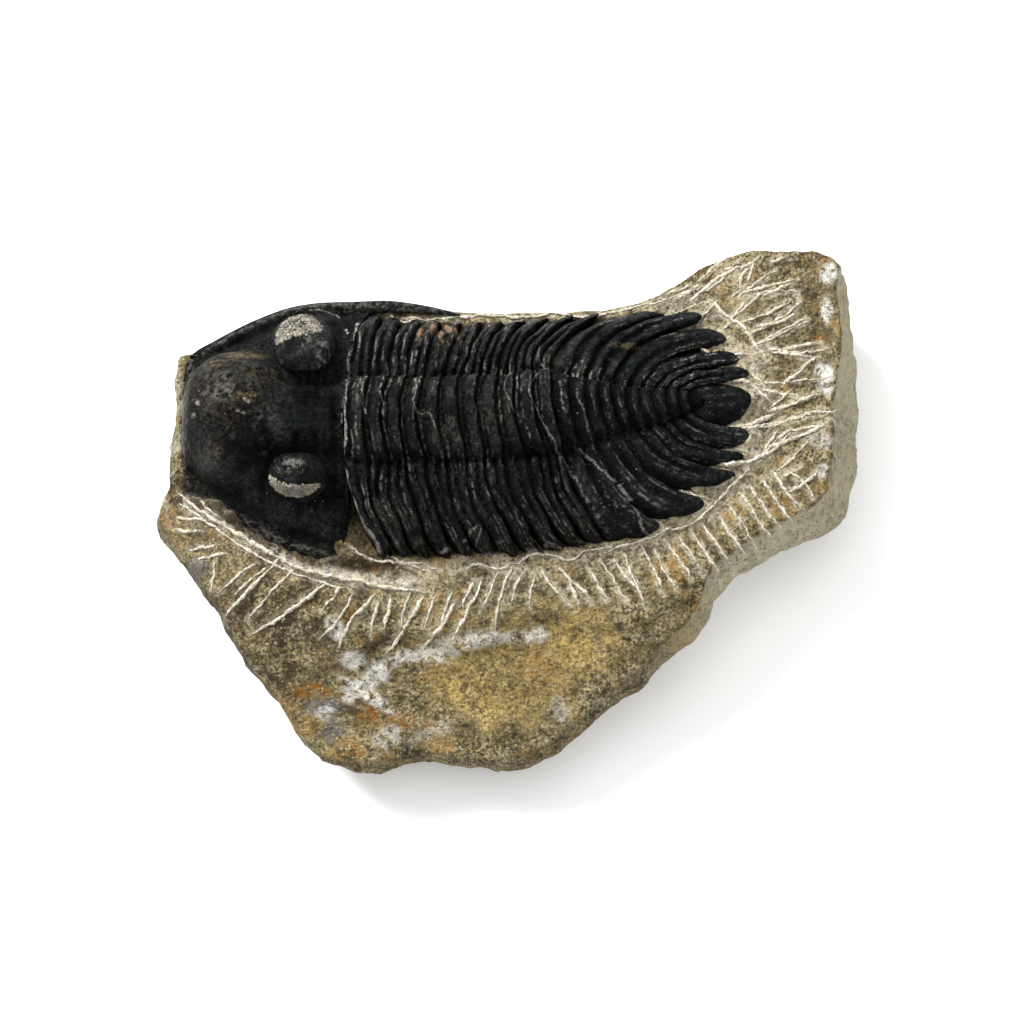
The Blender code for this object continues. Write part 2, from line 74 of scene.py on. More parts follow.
def unit(x: Array) -> Array:
    """A value held between 0 and 1."""
    return np.clip(x, 0.0, 1.0)


def bump(x: Array | float, centre: float, width: float) -> Array:
    """A rounded hump of height 1 at a centre."""
    return np.exp(-(((np.asarray(x, float) - centre) / width) ** 2))


def smooth_max(a: Array, b: Array, softness: float) -> Array:
    """The larger of two heights, with a fillet of that softness where they cross."""
    h = unit(0.5 + 0.5 * (a - b) / softness)
    return b + (a - b) * h + softness * h * (1.0 - h)


def arch(across: Array) -> Array:
    """Rise of an arched ring, from 0 at its edges (-1 and 1) to 1 in the middle."""
    return np.maximum(0.0, 1.0 - np.asarray(across, float) ** 2) ** 0.6


def through(points: Array | list, at: Array | float) -> Array:
    """Reads a smooth curve through points.

    Args:
        points: The points, one to a row.
        at: Positions along the curve, where 0, 1, 2 and so on are the points themselves.

    Returns:
        The curve's points at those positions.
    """
    p = np.asarray(points, float)
    p = np.vstack([2.0 * p[0] - p[1], p, 2.0 * p[-1] - p[-2]])
    at = np.clip(np.asarray(at, float), 0.0, len(p) - 3.0)
    i = np.minimum(at.astype(int), len(p) - 4)
    f = (at - i)[..., None]
    a, b, c, d = p[i], p[i + 1], p[i + 2], p[i + 3]
    return 0.5 * (2 * b + (c - a) * f + (2 * a - 5 * b + 4 * c - d) * f**2 + (3 * b - a - 3 * c + d) * f**3)


def lattice_noise(points: Array, size: float, seed: int) -> Array:
    """Even, repeatable noise.

    Args:
        points: Places in millimetres, one to a row.
        size: The size of its lumps in millimetres.
        seed: Which of the many patterns to use.

    Returns:
        A value between -1 and 1 at each place.
    """
    p = points / size + 0.37 * seed
    cell = np.floor(p).astype(np.int64)
    f = p - cell
    f = f * f * (3.0 - 2.0 * f)
    total = np.zeros(len(p))
    for corner in itertools.product((0, 1), repeat=3):
        c = cell + np.array(corner)
        h = (
            c[:, 0] * 374761393 + c[:, 1] * 668265263 + c[:, 2] * 2147483647 + seed * 1274126177
        ) & 0xFFFFFFFF
        h = ((h ^ (h >> 13)) * 1274126177) & 0xFFFFFFFF
        h = (h ^ (h >> 16)) & 0xFFFF
        total += np.prod(np.where(np.array(corner), f, 1.0 - f), axis=1) * (h / 32767.5 - 1.0)
    return total


def broken(points: Array, size: float, octaves: int, seed: int, sharp: bool = False) -> Array:
    """Noise on several scales at once, each half the size and half the height of the one before.

    Args:
        points: Places in millimetres.
        size: The size of the largest lumps.
        octaves: How many scales.
        seed: Which pattern.
        sharp: True for ridges with sharp crests, as on broken stone.

    Returns:
        A value of about -1 to 1 at each place.
    """
    total = np.zeros(len(points))
    for k in range(octaves):
        layer = lattice_noise(points, size / 2**k, seed + 11 * k)
        total += (1.0 - 2.0 * np.abs(layer) if sharp else layer) / 2**k
    return total / (2.0 - 0.5 ** (octaves - 1))


def distance_to_path(points: Array, path: Array, closed: bool = False) -> tuple[Array, Array]:
    """How far places lie from a bent line.

    Args:
        points: Places as (x, y).
        path: The line's corners as (x, y).
        closed: True if the last corner joins the first.

    Returns:
        The distance of each place, and how far along the line (in corners) its nearest point is.
    """
    ends = np.roll(path, -1, axis=0) if closed else path[1:]
    starts = path if closed else path[:-1]
    best, where = np.full(len(points), 1e9), np.zeros(len(points))
    for i, (a, b) in enumerate(zip(starts, ends)):
        along = b - a
        t = unit(((points - a) @ along) / max(along @ along, 1e-9))
        d = np.hypot(*(points - a - t[:, None] * along).T)
        nearer = d < best
        best[nearer], where[nearer] = d[nearer], i + t[nearer]
    return best, where


def patches(
    place: Array, shapes: Iterable[tuple[float, ...]], ragged: Array, low: float = 0.6, high: float = 1.15
) -> Array:
    """The strongest of several ragged patches at each place.

    Args:
        place: Places in millimetres.
        shapes: Each patch as (x, y, half length, half width, strength), and its turn if it has one.
        ragged: What each place adds to its distance from a patch, as a share of the patch.
        low: Share of a patch within which it is full.
        high: Share of a patch at which it ends.

    Returns:
        How strong the patches are, 0 to 1.
    """
    found = np.zeros(len(place))
    for x, y, long, wide, strength, *turned in shapes:
        turn = sum(turned)
        dx, dy = place[:, 0] - x, place[:, 1] - y
        u, w = dx * math.cos(turn) + dy * math.sin(turn), dy * math.cos(turn) - dx * math.sin(turn)
        found = np.maximum(found, strength * (1.0 - smooth(np.hypot(u / long, w / wide) + ragged, low, high)))
    return found


def inside(points: Array, outline: Array) -> Array:
    """True for each place inside a closed outline."""
    x, y = points.T
    found = np.zeros(len(points), bool)
    for (x0, y0), (x1, y1) in zip(outline, np.roll(outline, -1, axis=0)):
        if y0 != y1:
            found ^= ((y0 > y) != (y1 > y)) & (x < (x1 - x0) * (y - y0) / (y1 - y0) + x0)
    return found


def ray_lengths(outline: list[Pair], starts: Array, directions: Array) -> Array:
    """How far each ray runs from inside a closed outline until it meets it."""
    a = np.asarray(outline, float)
    edge = np.roll(a, -1, axis=0) - a
    lengths = []
    for start, direction in zip(starts, directions):
        apart = a - start
        cross = direction[0] * edge[:, 1] - direction[1] * edge[:, 0]
        cross = np.where(np.abs(cross) < 1e-9, 1e-9, cross)
        along = (apart[:, 0] * edge[:, 1] - apart[:, 1] * edge[:, 0]) / cross
        share = (apart[:, 0] * direction[1] - apart[:, 1] * direction[0]) / cross
        lengths.append(np.max(along[(share >= 0.0) & (share <= 1.0)]))
    return np.array(lengths)


# Making objects and meshes.


def placed(name: str, data: bpy.types.ID) -> Object:
    """A new object for a mesh, light or camera, linked to the scene."""
    made = bpy.data.objects.new(name, data)
    bpy.context.scene.collection.objects.link(made)
    return made


def mesh_object(name: str, points: Array, faces: Array, masks: dict[str, Array]) -> Object:
    """Makes a smooth-shaded object.

    Args:
        name: The object's name.
        points: Its points in millimetres.
        faces: Its four-sided faces, as point numbers.
        masks: Named values, one to a point, that its material reads.

    Returns:
        The object, linked to the scene.
    """
    data = bpy.data.meshes.new(name)
    data.vertices.add(len(points))
    data.vertices.foreach_set("co", (points * MM).ravel())
    data.loops.add(faces.size)
    data.loops.foreach_set("vertex_index", faces.ravel().astype(np.int32))
    data.polygons.add(len(faces))
    data.polygons.foreach_set("loop_start", np.arange(0, faces.size, 4, dtype=np.int32))
    data.update(calc_edges=True)
    for key, values in masks.items():
        layer = data.attributes.new(key, "FLOAT", "POINT")
        layer.data.foreach_set("value", np.asarray(values, np.float32).ravel())
    piece = placed(name, data)
    close_up(piece)
    return piece


def close_up(piece: Object) -> None:
    """Merges doubled points, drops collapsed faces, turns every face outwards and shades it smooth."""
    work = bmesh.new()
    work.from_mesh(piece.data)
    bmesh.ops.remove_doubles(work, verts=work.verts, dist=0.002 * MM)
    bmesh.ops.dissolve_degenerate(work, edges=work.edges, dist=0.001 * MM)
    bmesh.ops.recalc_face_normals(work, faces=work.faces)
    for face in work.faces:
        face.smooth = True
    work.to_mesh(piece.data)
    work.free()


def fill_holes(piece: Object) -> None:
    """Closes every hole that is left in a piece with one flat face."""
    work = bmesh.new()
    work.from_mesh(piece.data)
    bmesh.ops.holes_fill(work, edges=[edge for edge in work.edges if edge.is_boundary], sides=0)
    bmesh.ops.recalc_face_normals(work, faces=work.faces)
    work.to_mesh(piece.data)
    work.free()


def grid_faces(rows: int, columns: int, wrap: bool = False) -> Array:
    """Faces between the points of a grid, given row by row."""
    i, j = np.meshgrid(np.arange(rows - 1), np.arange(columns if wrap else columns - 1), indexing="ij")
    k = (j + 1) % columns
    here, after = i * columns, (i + 1) * columns
    return np.stack([here + j, here + k, after + k, after + j], -1).reshape(-1, 4)


def plate(name: str, top: Array, floor_z: float, masks: dict[str, Array], folded: bool = False) -> Object:
    """A closed plate under a grid of points.

    Args:
        name: The piece's name.
        top: The upper surface, as rows of points.
        floor_z: Height of its underside.
        masks: Values for its material, one to a point of the grid.
        folded: True if the last row runs out along the midline and comes back.

    Returns:
        The plate.
    """
    rows, columns = top.shape[:2]
    index = np.arange(rows * columns).reshape(rows, columns)
    around = [index[0], index[1:, -1], index[:0:-1, 0]]
    if not folded:
        around.insert(2, index[-1, -2:0:-1])
    rim = np.concatenate(around)
    foot = top.reshape(-1, 3)[rim]
    foot[:, 2] = floor_z
    low = index.size + np.arange(len(rim))
    walls = np.stack([rim, np.roll(rim, -1), np.roll(low, -1), low], -1)
    points = np.vstack([top.reshape(-1, 3), foot])
    both = {key: np.concatenate([values.ravel(), values.ravel()[rim]]) for key, values in masks.items()}
    piece = mesh_object(name, points, np.vstack([grid_faces(rows, columns), walls]), both)
    fill_holes(piece)
    return piece


# Shader building.


class Nodes:
    """A short way to add and join the nodes of one tree."""

    def __init__(self, tree: Tree) -> None:
        """Starts on a tree with no nodes of its own."""
        self.tree = tree
        tree.nodes.clear()

    def add(self, kind: str, settings: dict | None = None, **inputs: object) -> bpy.types.Node:
        """Adds a node.

        Args:
            kind: The node's type name.
            settings: Its own properties.
            **inputs: Values or output sockets for its inputs; spaces in a name are written as underscores.

        Returns:
            The node.
        """
        node = self.tree.nodes.new(kind)
        for key, value in (settings or {}).items():
            setattr(node, key, value)
        for key, value in inputs.items():
            self.fill(
                node.inputs[int(key[1:])] if key[1:].isdigit() else node.inputs[key.replace("_", " ")], value
            )
        return node

    def fill(self, socket: Socket, value: object) -> None:
        """Joins an output to a socket, or sets the socket to a value; a triple may be a colour."""
        if isinstance(value, Socket):
            self.tree.links.new(value, socket)
        else:
            socket.default_value = (*value, 1.0) if socket.type == "RGBA" and len(value) == 3 else value

    def times(self, a: object, b: object) -> Socket:
        """The product of two values."""
        return self.maths("MULTIPLY", a, b)

    def maths(self, operation: str, a: object, b: object = 0.0, clamp: bool = False) -> Socket:
        """The result of one sum on two values."""
        return self.add("ShaderNodeMath", {"operation": operation, "use_clamp": clamp}, i0=a, i1=b).outputs[0]

    def blend(self, share: object, first: object, second: object) -> Socket:
        """A colour between two, at a share between 0 and 1."""
        node = self.add("ShaderNodeMix", {"data_type": "RGBA"}, i0=share, i6=first, i7=second)
        return node.outputs[2]

    def spread(
        self, value: object, low: float, high: float, to_low: float = 0.0, to_high: float = 1.0
    ) -> Socket:
        """A value stretched from one range to another, with its ends held."""
        node = self.add("ShaderNodeMapRange", {"interpolation_type": "SMOOTHSTEP"}, Value=value)
        for key, number in (("From Min", low), ("From Max", high), ("To Min", to_low), ("To Max", to_high)):
            node.inputs[key].default_value = number
        return node.outputs[0]

    def mask(self, name: str) -> Socket:
        """A value that the piece's points carry."""
        return self.add("ShaderNodeAttribute", {"attribute_name": name}).outputs["Fac"]

    def grain(self, where: object, scale: object, detail: float = 4.0, rough: float = 0.55) -> Socket:
        """Cloudy noise of a scale per metre."""
        return self.add(
            "ShaderNodeTexNoise", Vector=where, Scale=scale, Detail=detail, Roughness=rough
        ).outputs[0]


def start_tree(
    name: str, kind: str, source: str, inputs: dict[str, object], outputs: dict[str, str]
) -> tuple[Nodes, Outputs]:
    """Starts a shared shader effect or a geometry tree.

    Args:
        name: The tree's name.
        kind: Shader or Geometry.
        source: Its first input, which is a place for a shader effect and a geometry for a geometry tree.
        inputs: Its other inputs with their values; a triple is a colour.
        outputs: Its outputs with their kinds.

    Returns:
        A helper on the tree, and the sockets that its inputs come from.
    """
    tree = bpy.data.node_groups.new(name, f"{kind}NodeTree")
    first = "NodeSocketVector" if kind == "Shader" else "NodeSocketGeometry"
    tree.interface.new_socket(source, in_out="INPUT", socket_type=first)
    for key, value in inputs.items():
        socket = tree.interface.new_socket(key, in_out="INPUT", socket_type=SOCKETS[type(value)])
        socket.default_value = (*value, 1.0) if isinstance(value, tuple) else value
    for key, sort in outputs.items():
        tree.interface.new_socket(key, in_out="OUTPUT", socket_type=f"NodeSocket{sort}")
    n = Nodes(tree)
    return n, n.add("NodeGroupInput").outputs


class Effect(Enum):
    """The shared shader effects."""

    MOTTLE = "stone_mottle"
    DUST = "settled_dust"
    FLECKS = "bright_flecks"
    TOOTH = "fine_tooth"


class EffectShelf:
    """Builds each shared effect once and hands it out."""

    def __init__(self) -> None:
        """Builds the four effects."""
        self.trees = {
            Effect.MOTTLE: self.mottle(),
            Effect.DUST: self.dust(),
            Effect.FLECKS: self.flecks(),
            Effect.TOOTH: self.tooth(),
        }

    def mottle(self) -> Tree:
        """Three colours mixed in clouds, with dark grains between them."""
        inputs = {
            "Scale": 300.0, "Light": (0.5, 0.5, 0.5), "Middle": (0.3, 0.3, 0.3), "Dark": (0.1, 0.1, 0.1)
        }
        outputs = {"Colour": "Color", "Height": "Float"}
        n, at = start_tree(Effect.MOTTLE.value, "Shader", "Where", {**inputs, "Grain": 0.5}, outputs)
        wide = n.grain(at["Where"], at["Scale"], 6.0, 0.6)
        fine = n.grain(at["Where"], n.times(at["Scale"], 6.0), 5.0, 0.7)
        colour = n.blend(n.spread(wide, 0.38, 0.62), at["Middle"], at["Light"])
        colour = n.blend(n.times(n.spread(fine, 0.56, 0.44), at["Grain"]), colour, at["Dark"])
        height = n.maths("ADD", wide, n.times(fine, 0.6))
        n.add("NodeGroupOutput", Colour=colour, Height=height)
        return n.tree

    def dust(self) -> Tree:
        """Patchy dust that gathers where a mask lets it."""
        inputs = {"Mask": 0.5, "Scale": 600.0, "Amount": 0.5}
        n, at = start_tree(Effect.DUST.value, "Shader", "Where", inputs, {"Share": "Float"})
        patch = n.grain(at["Where"], at["Scale"], 7.0, 0.68)
        share = n.times(n.spread(patch, 0.46, 0.58), at["Mask"])
        n.add("NodeGroupOutput", Share=n.maths("MULTIPLY", share, at["Amount"], True))
        return n.tree

    def flecks(self) -> Tree:
        """Small scattered specks."""
        inputs = {"Scale": 1500.0, "Size": 0.2, "Amount": 0.3}
        n, at = start_tree(Effect.FLECKS.value, "Shader", "Where", inputs, {"Share": "Float"})
        cells = n.add("ShaderNodeTexVoronoi", Vector=at["Where"], Scale=at["Scale"])
        near = n.maths("LESS_THAN", cells.outputs["Distance"], at["Size"])
        chosen = n.add("ShaderNodeSeparateColor", Color=cells.outputs["Color"]).outputs[0]
        share = n.times(near, n.maths("LESS_THAN", chosen, at["Amount"]))
        n.add("NodeGroupOutput", Share=share)
        return n.tree

    def tooth(self) -> Tree:
        """A height that makes a surface feel gritty."""
        inputs = {"Scale": 2500.0, "Depth": 1.0}
        n, at = start_tree(Effect.TOOTH.value, "Shader", "Where", inputs, {"Height": "Float"})
        rough = n.grain(at["Where"], at["Scale"], 4.0, 0.6)
        n.add("NodeGroupOutput", Height=n.times(rough, at["Depth"]))
        return n.tree

    def place(self, n: Nodes, effect: Effect, where: Socket, **inputs: object) -> bpy.types.Node:
        """Puts an effect in a material's tree, at places and with values of its own."""
        node = n.tree.nodes.new("ShaderNodeGroup")
        node.node_tree = self.trees[effect]
        for key, value in {"Where": where, **inputs}.items():
            n.fill(node.inputs[key], value)
        return node


def start_material(name: str) -> tuple[Material, Nodes, Socket]:
    """A new material, a helper on its tree and the place on the piece that its patterns read."""
    material = bpy.data.materials.new(name)
    material.use_nodes = True
    n = Nodes(material.node_tree)
    return material, n, n.add("ShaderNodeTexCoord").outputs["Object"]


def end_material(
    n: Nodes, colour: object, roughness: object, height: object, depth: float, **fixed: float
) -> None:
    """Joins a material's colour, roughness and height to its shader.

    Args:
        n: The helper on the material's tree.
        colour: Its base colour.
        roughness: Its roughness.
        height: Its small relief, 0 to 1.
        depth: What a relief of 1 stands for, in metres.
        **fixed: Values set on the shader's own sockets; spaces are written as underscores.
    """
    relief = n.add("ShaderNodeBump", Strength=1.0, Distance=depth, Height=height)
    shader = n.add(
        "ShaderNodeBsdfPrincipled", Base_Color=colour, Roughness=roughness, Normal=relief.outputs[0]
    )
    for key, value in fixed.items():
        shader.inputs[key.replace("_", " ")].default_value = value
    n.add("ShaderNodeOutputMaterial", Surface=shader.outputs[0])


@dataclass(frozen=True)
class ShellFinish:
    """Near-black fossil shell: a low sheen, pale dust in the furrows, pale ridge lines that are partly wear
    and partly painted highlight, and a painted highlight on the crests.
    """

    black: Colour = (0.0014, 0.0016, 0.0018)
    blue_grey: Colour = (0.0046, 0.0058, 0.0064)
    # crest: the colour of the painted highlight on ridge tops and lumps.
    crest: Colour = (0.042, 0.047, 0.046)
    tan: Colour = (0.34, 0.21, 0.12)
    # Tint of the pale ridge lines: partly wear, partly painted highlight.
    wear_and_highlight: Colour = (0.38, 0.365, 0.32)
    dust: Colour = (0.105, 0.098, 0.078)
    olive: Colour = (0.17, 0.13, 0.062)
    fleck: Colour = (0.42, 0.40, 0.35)
    scratch: Colour = (0.40, 0.385, 0.35)

    def build(self, effects: EffectShelf) -> Material:
        """Builds the material, which reads the masks crest (painted highlight), ridge (wear and painted
        highlight), furrow, stain, tan and chalk.
        """
        material, n, where = start_material("black_fossil_shell")
        tone = effects.place(
            n, Effect.MOTTLE, where, Scale=420.0, Light=self.blue_grey, Middle=self.black, Dark=self.black,
            Grain=0.7
        )
        stain = n.maths(
            "MULTIPLY", n.mask("stain"), n.spread(n.grain(where, 1500.0, 6.0, 0.75), 0.43, 0.60), True
        )
        # Painted highlight: where the crest mask is high, the shell is painted in the lighter crest colour.
        lit = n.times(n.mask("crest"), n.spread(n.grain(where, 1500.0, 8.0, 0.8), 0.40, 0.62, 0.08, 1.0))
        colour = n.blend(lit, tone.outputs["Colour"], self.crest)
        colour = n.blend(stain, colour, self.olive)
        tan = n.maths("MULTIPLY", n.mask("tan"), n.spread(n.grain(where, 1800.0, 6.0, 0.8), 0.40, 0.54), True)
        colour = n.blend(tan, colour, self.tan)
        film = n.spread(n.grain(where, 260.0, 8.0, 0.74), 0.46, 0.66, 0.05, 0.75)
        speckle = n.spread(n.grain(where, 1900.0, 6.0, 0.85), 0.54, 0.68)
        colour = n.blend(n.times(film, speckle), colour, self.dust)
        # The ridge lines are partly wear and partly painted highlight; the furrows get real dust.
        for key, scale, amount, tint in (
            ("ridge", 1300.0, 1.0, self.wear_and_highlight), ("furrow", 2400.0, 0.36, self.dust)
        ):
            share = effects.place(n, Effect.DUST, where, Mask=n.mask(key), Scale=scale, Amount=amount)
            colour = n.blend(share.outputs["Share"], colour, tint)
        speck = effects.place(n, Effect.FLECKS, where, Scale=3100.0, Size=0.2, Amount=0.035)
        zone = n.spread(n.grain(where, 90.0), 0.45, 0.6, 0.0, 0.8)
        colour = n.blend(n.times(speck.outputs["Share"], zone), colour, self.fleck)
        crack = n.maths(
            "MULTIPLY", n.mask("chalk"), n.spread(n.grain(where, 2600.0, 5.0, 0.75), 0.38, 0.56), True
        )
        colour = n.blend(crack, colour, self.scratch)
        rough = n.spread(n.grain(where, 700.0, 6.0, 0.7), 0.36, 0.66, 0.36, 0.72)
        rough = n.maths("ADD", rough, n.times(n.mask("furrow"), 0.2), True)
        tooth = effects.place(n, Effect.TOOTH, where, Scale=2800.0, Depth=1.0)
        height = n.maths("ADD", tooth.outputs[0], n.times(tone.outputs["Height"], 0.8))
        end_material(n, colour, rough, height, 0.0011, Specular_IOR_Level=0.035)
        return material


@dataclass(frozen=True)
class LimestoneFinish:
    """Grainy tan and olive limestone with white calcite, rust, grey-violet patches, pale scraping and painted
    shade beside the shell.
    """

    light: Colour = (0.50, 0.415, 0.225)
    middle: Colour = (0.225, 0.170, 0.062)
    dark: Colour = (0.026, 0.021, 0.011)
    face: Colour = (0.51, 0.465, 0.315)
    chalk: Colour = (0.62, 0.56, 0.41)
    calcite: Colour = (0.76, 0.74, 0.67)
    rust: Colour = (0.25, 0.105, 0.014)
    violet: Colour = (0.158, 0.148, 0.132)
    # hollow: the colour of the painted shade in the groove beside the shell and at its edge.
    hollow: Colour = (0.045, 0.028, 0.012)
    ochre: Colour = (0.34, 0.20, 0.055)
    calm: tuple[Colour, ...] = ((0.74, 0.55, 0.20), (0.58, 0.405, 0.115), (0.19, 0.125, 0.034))
    shadows: tuple[Colour, ...] = ((0.10, 0.085, 0.045), (0.22, 0.16, 0.07))

    def build(self, effects: EffectShelf) -> Material:
        """Builds the material, which reads the masks chalk, calcite, rust, violet, hollow (painted shade),
        face and plain.
        """
        material, n, where = start_material("tan_limestone")
        stone = effects.place(
            n, Effect.MOTTLE, where, Scale=420.0, Light=self.light, Middle=self.middle, Dark=self.dark,
            Grain=0.85
        )
        light, middle, dark = self.calm
        calm = effects.place(
            n, Effect.MOTTLE, where, Scale=330.0, Light=light, Middle=middle, Dark=dark, Grain=0.75
        )
        colour = n.blend(n.mask("plain"), stone.outputs["Colour"], calm.outputs["Colour"])
        shade = n.spread(n.grain(where, 95.0, 5.0, 0.6), 0.36, 0.62, 0.0, 0.55)
        colour = n.blend(shade, colour, n.blend(n.grain(where, 60.0), *self.shadows))
        ochre = n.spread(n.grain(where, 170.0, 6.0, 0.7), 0.52, 0.66, 0.0, 0.7)
        colour = n.blend(ochre, colour, self.ochre)
        dusk = n.spread(n.grain(where, 230.0, 7.0, 0.72), 0.47, 0.34, 0.0, 0.75)
        colour = n.blend(dusk, colour, self.dark)
        cream = n.spread(n.grain(where, 1100.0, 9.0, 0.82), 0.55, 0.64)
        colour = n.blend(n.times(cream, 0.7), colour, self.chalk)
        zone = n.spread(n.grain(where, 130.0, 4.0, 0.6), 0.40, 0.60, -0.03, 0.03)
        pits = n.spread(n.maths("ADD", n.grain(where, 950.0, 9.0, 0.84), zone), 0.45, 0.385)
        pitted = n.times(pits, n.maths("SUBTRACT", 0.85, n.times(n.mask("plain"), 0.35)))
        colour = n.blend(pitted, colour, self.dark)
        bare = n.spread(n.grain(where, 900.0, 8.0, 0.8), 0.3, 0.6, 0.35, 0.95)
        colour = n.blend(n.times(n.mask("face"), bare), colour, self.face)
        for key, scale, low, high in (
            ("violet", 900.0, 0.38, 0.50), ("rust", 1100.0, 0.43, 0.57), ("hollow", 1000.0, 0.34, 0.56),
            ("calcite", 900.0, 0.40, 0.52), ("chalk", 1500.0, 0.36, 0.56),
        ):
            patch = n.spread(n.grain(where, scale, 7.0, 0.72), low, high)
            colour = n.blend(n.maths("MULTIPLY", n.mask(key), patch, True), colour, getattr(self, key))
        cuts = n.spread(n.maths("ADD", n.grain(where, 1500.0, 9.0, 0.84), n.times(zone, 0.6)), 0.43, 0.38)
        colour = n.blend(n.times(cuts, 0.6), colour, self.dark)
        for scale, size, amount, strength, tint in (
            (2300.0, 0.34, 0.2, 0.55, self.light), (2100.0, 0.34, 0.24, 0.6, self.dark)
        ):
            speck = effects.place(n, Effect.FLECKS, where, Scale=scale, Size=size, Amount=amount)
            colour = n.blend(n.times(speck.outputs["Share"], strength), colour, tint)
        tooth = effects.place(n, Effect.TOOTH, where, Scale=1700.0, Depth=1.1)
        height = n.maths("ADD", n.times(stone.outputs["Height"], 0.9), tooth.outputs[0])
        height = n.maths("SUBTRACT", height, n.times(n.maths("MAXIMUM", speck.outputs["Share"], pits), 0.35))
        end_material(n, colour, 0.88, height, 0.0012, Specular_IOR_Level=0.2)
        return material


@dataclass(frozen=True)
class GrainFinish:
    """A plain grainy surface of three colours."""

    name: str
    light: Colour
    middle: Colour
    dark: Colour
    scale: float
    grain: float
    tooth_scale: float
    tooth: float
    roughness: float
    depth: float
    sheen: float

    def build(self, effects: EffectShelf) -> Material:
        """Builds the material."""
        material, n, where = start_material(self.name)
        mix = {"Light": self.light, "Middle": self.middle, "Dark": self.dark}
        tone = effects.place(n, Effect.MOTTLE, where, Scale=self.scale, Grain=self.grain, **mix)
        tooth = effects.place(n, Effect.TOOTH, where, Scale=self.tooth_scale, Depth=self.tooth).outputs[0]
        end_material(
            n, tone.outputs["Colour"], self.roughness, tooth, self.depth, Specular_IOR_Level=self.sheen
        )
        return material


SCRAPE = GrainFinish(
    "scraped_limestone", light=(0.80, 0.765, 0.66), middle=(0.64, 0.59, 0.46), dark=(0.33, 0.28, 0.18),
    scale=500.0, grain=0.8, tooth_scale=3000.0, tooth=1.0, roughness=0.92, depth=0.0006, sheen=0.15,
)
LENS = GrainFinish(
    "eye_lens_calcite", light=(0.31, 0.285, 0.225), middle=(0.12, 0.105, 0.075), dark=(0.02, 0.018, 0.015),
    scale=700.0, grain=0.75, tooth_scale=4200.0, tooth=0.8, roughness=0.6, depth=0.0001, sheen=0.35,
)


@dataclass(frozen=True)
class FloorFinish:
    """A plain, near-white table."""

    white: Colour = (0.93, 0.93, 0.93)
    whiter: Colour = (0.95, 0.95, 0.95)

    def build(self, effects: EffectShelf) -> Material:
        """Builds the material."""
        material, n, where = start_material("pale_table")
        colour = n.blend(n.grain(where, 4.0), self.white, self.whiter)
        end_material(n, colour, 0.9, n.grain(where, 300.0), 0.00002)
        return material


# The animal.


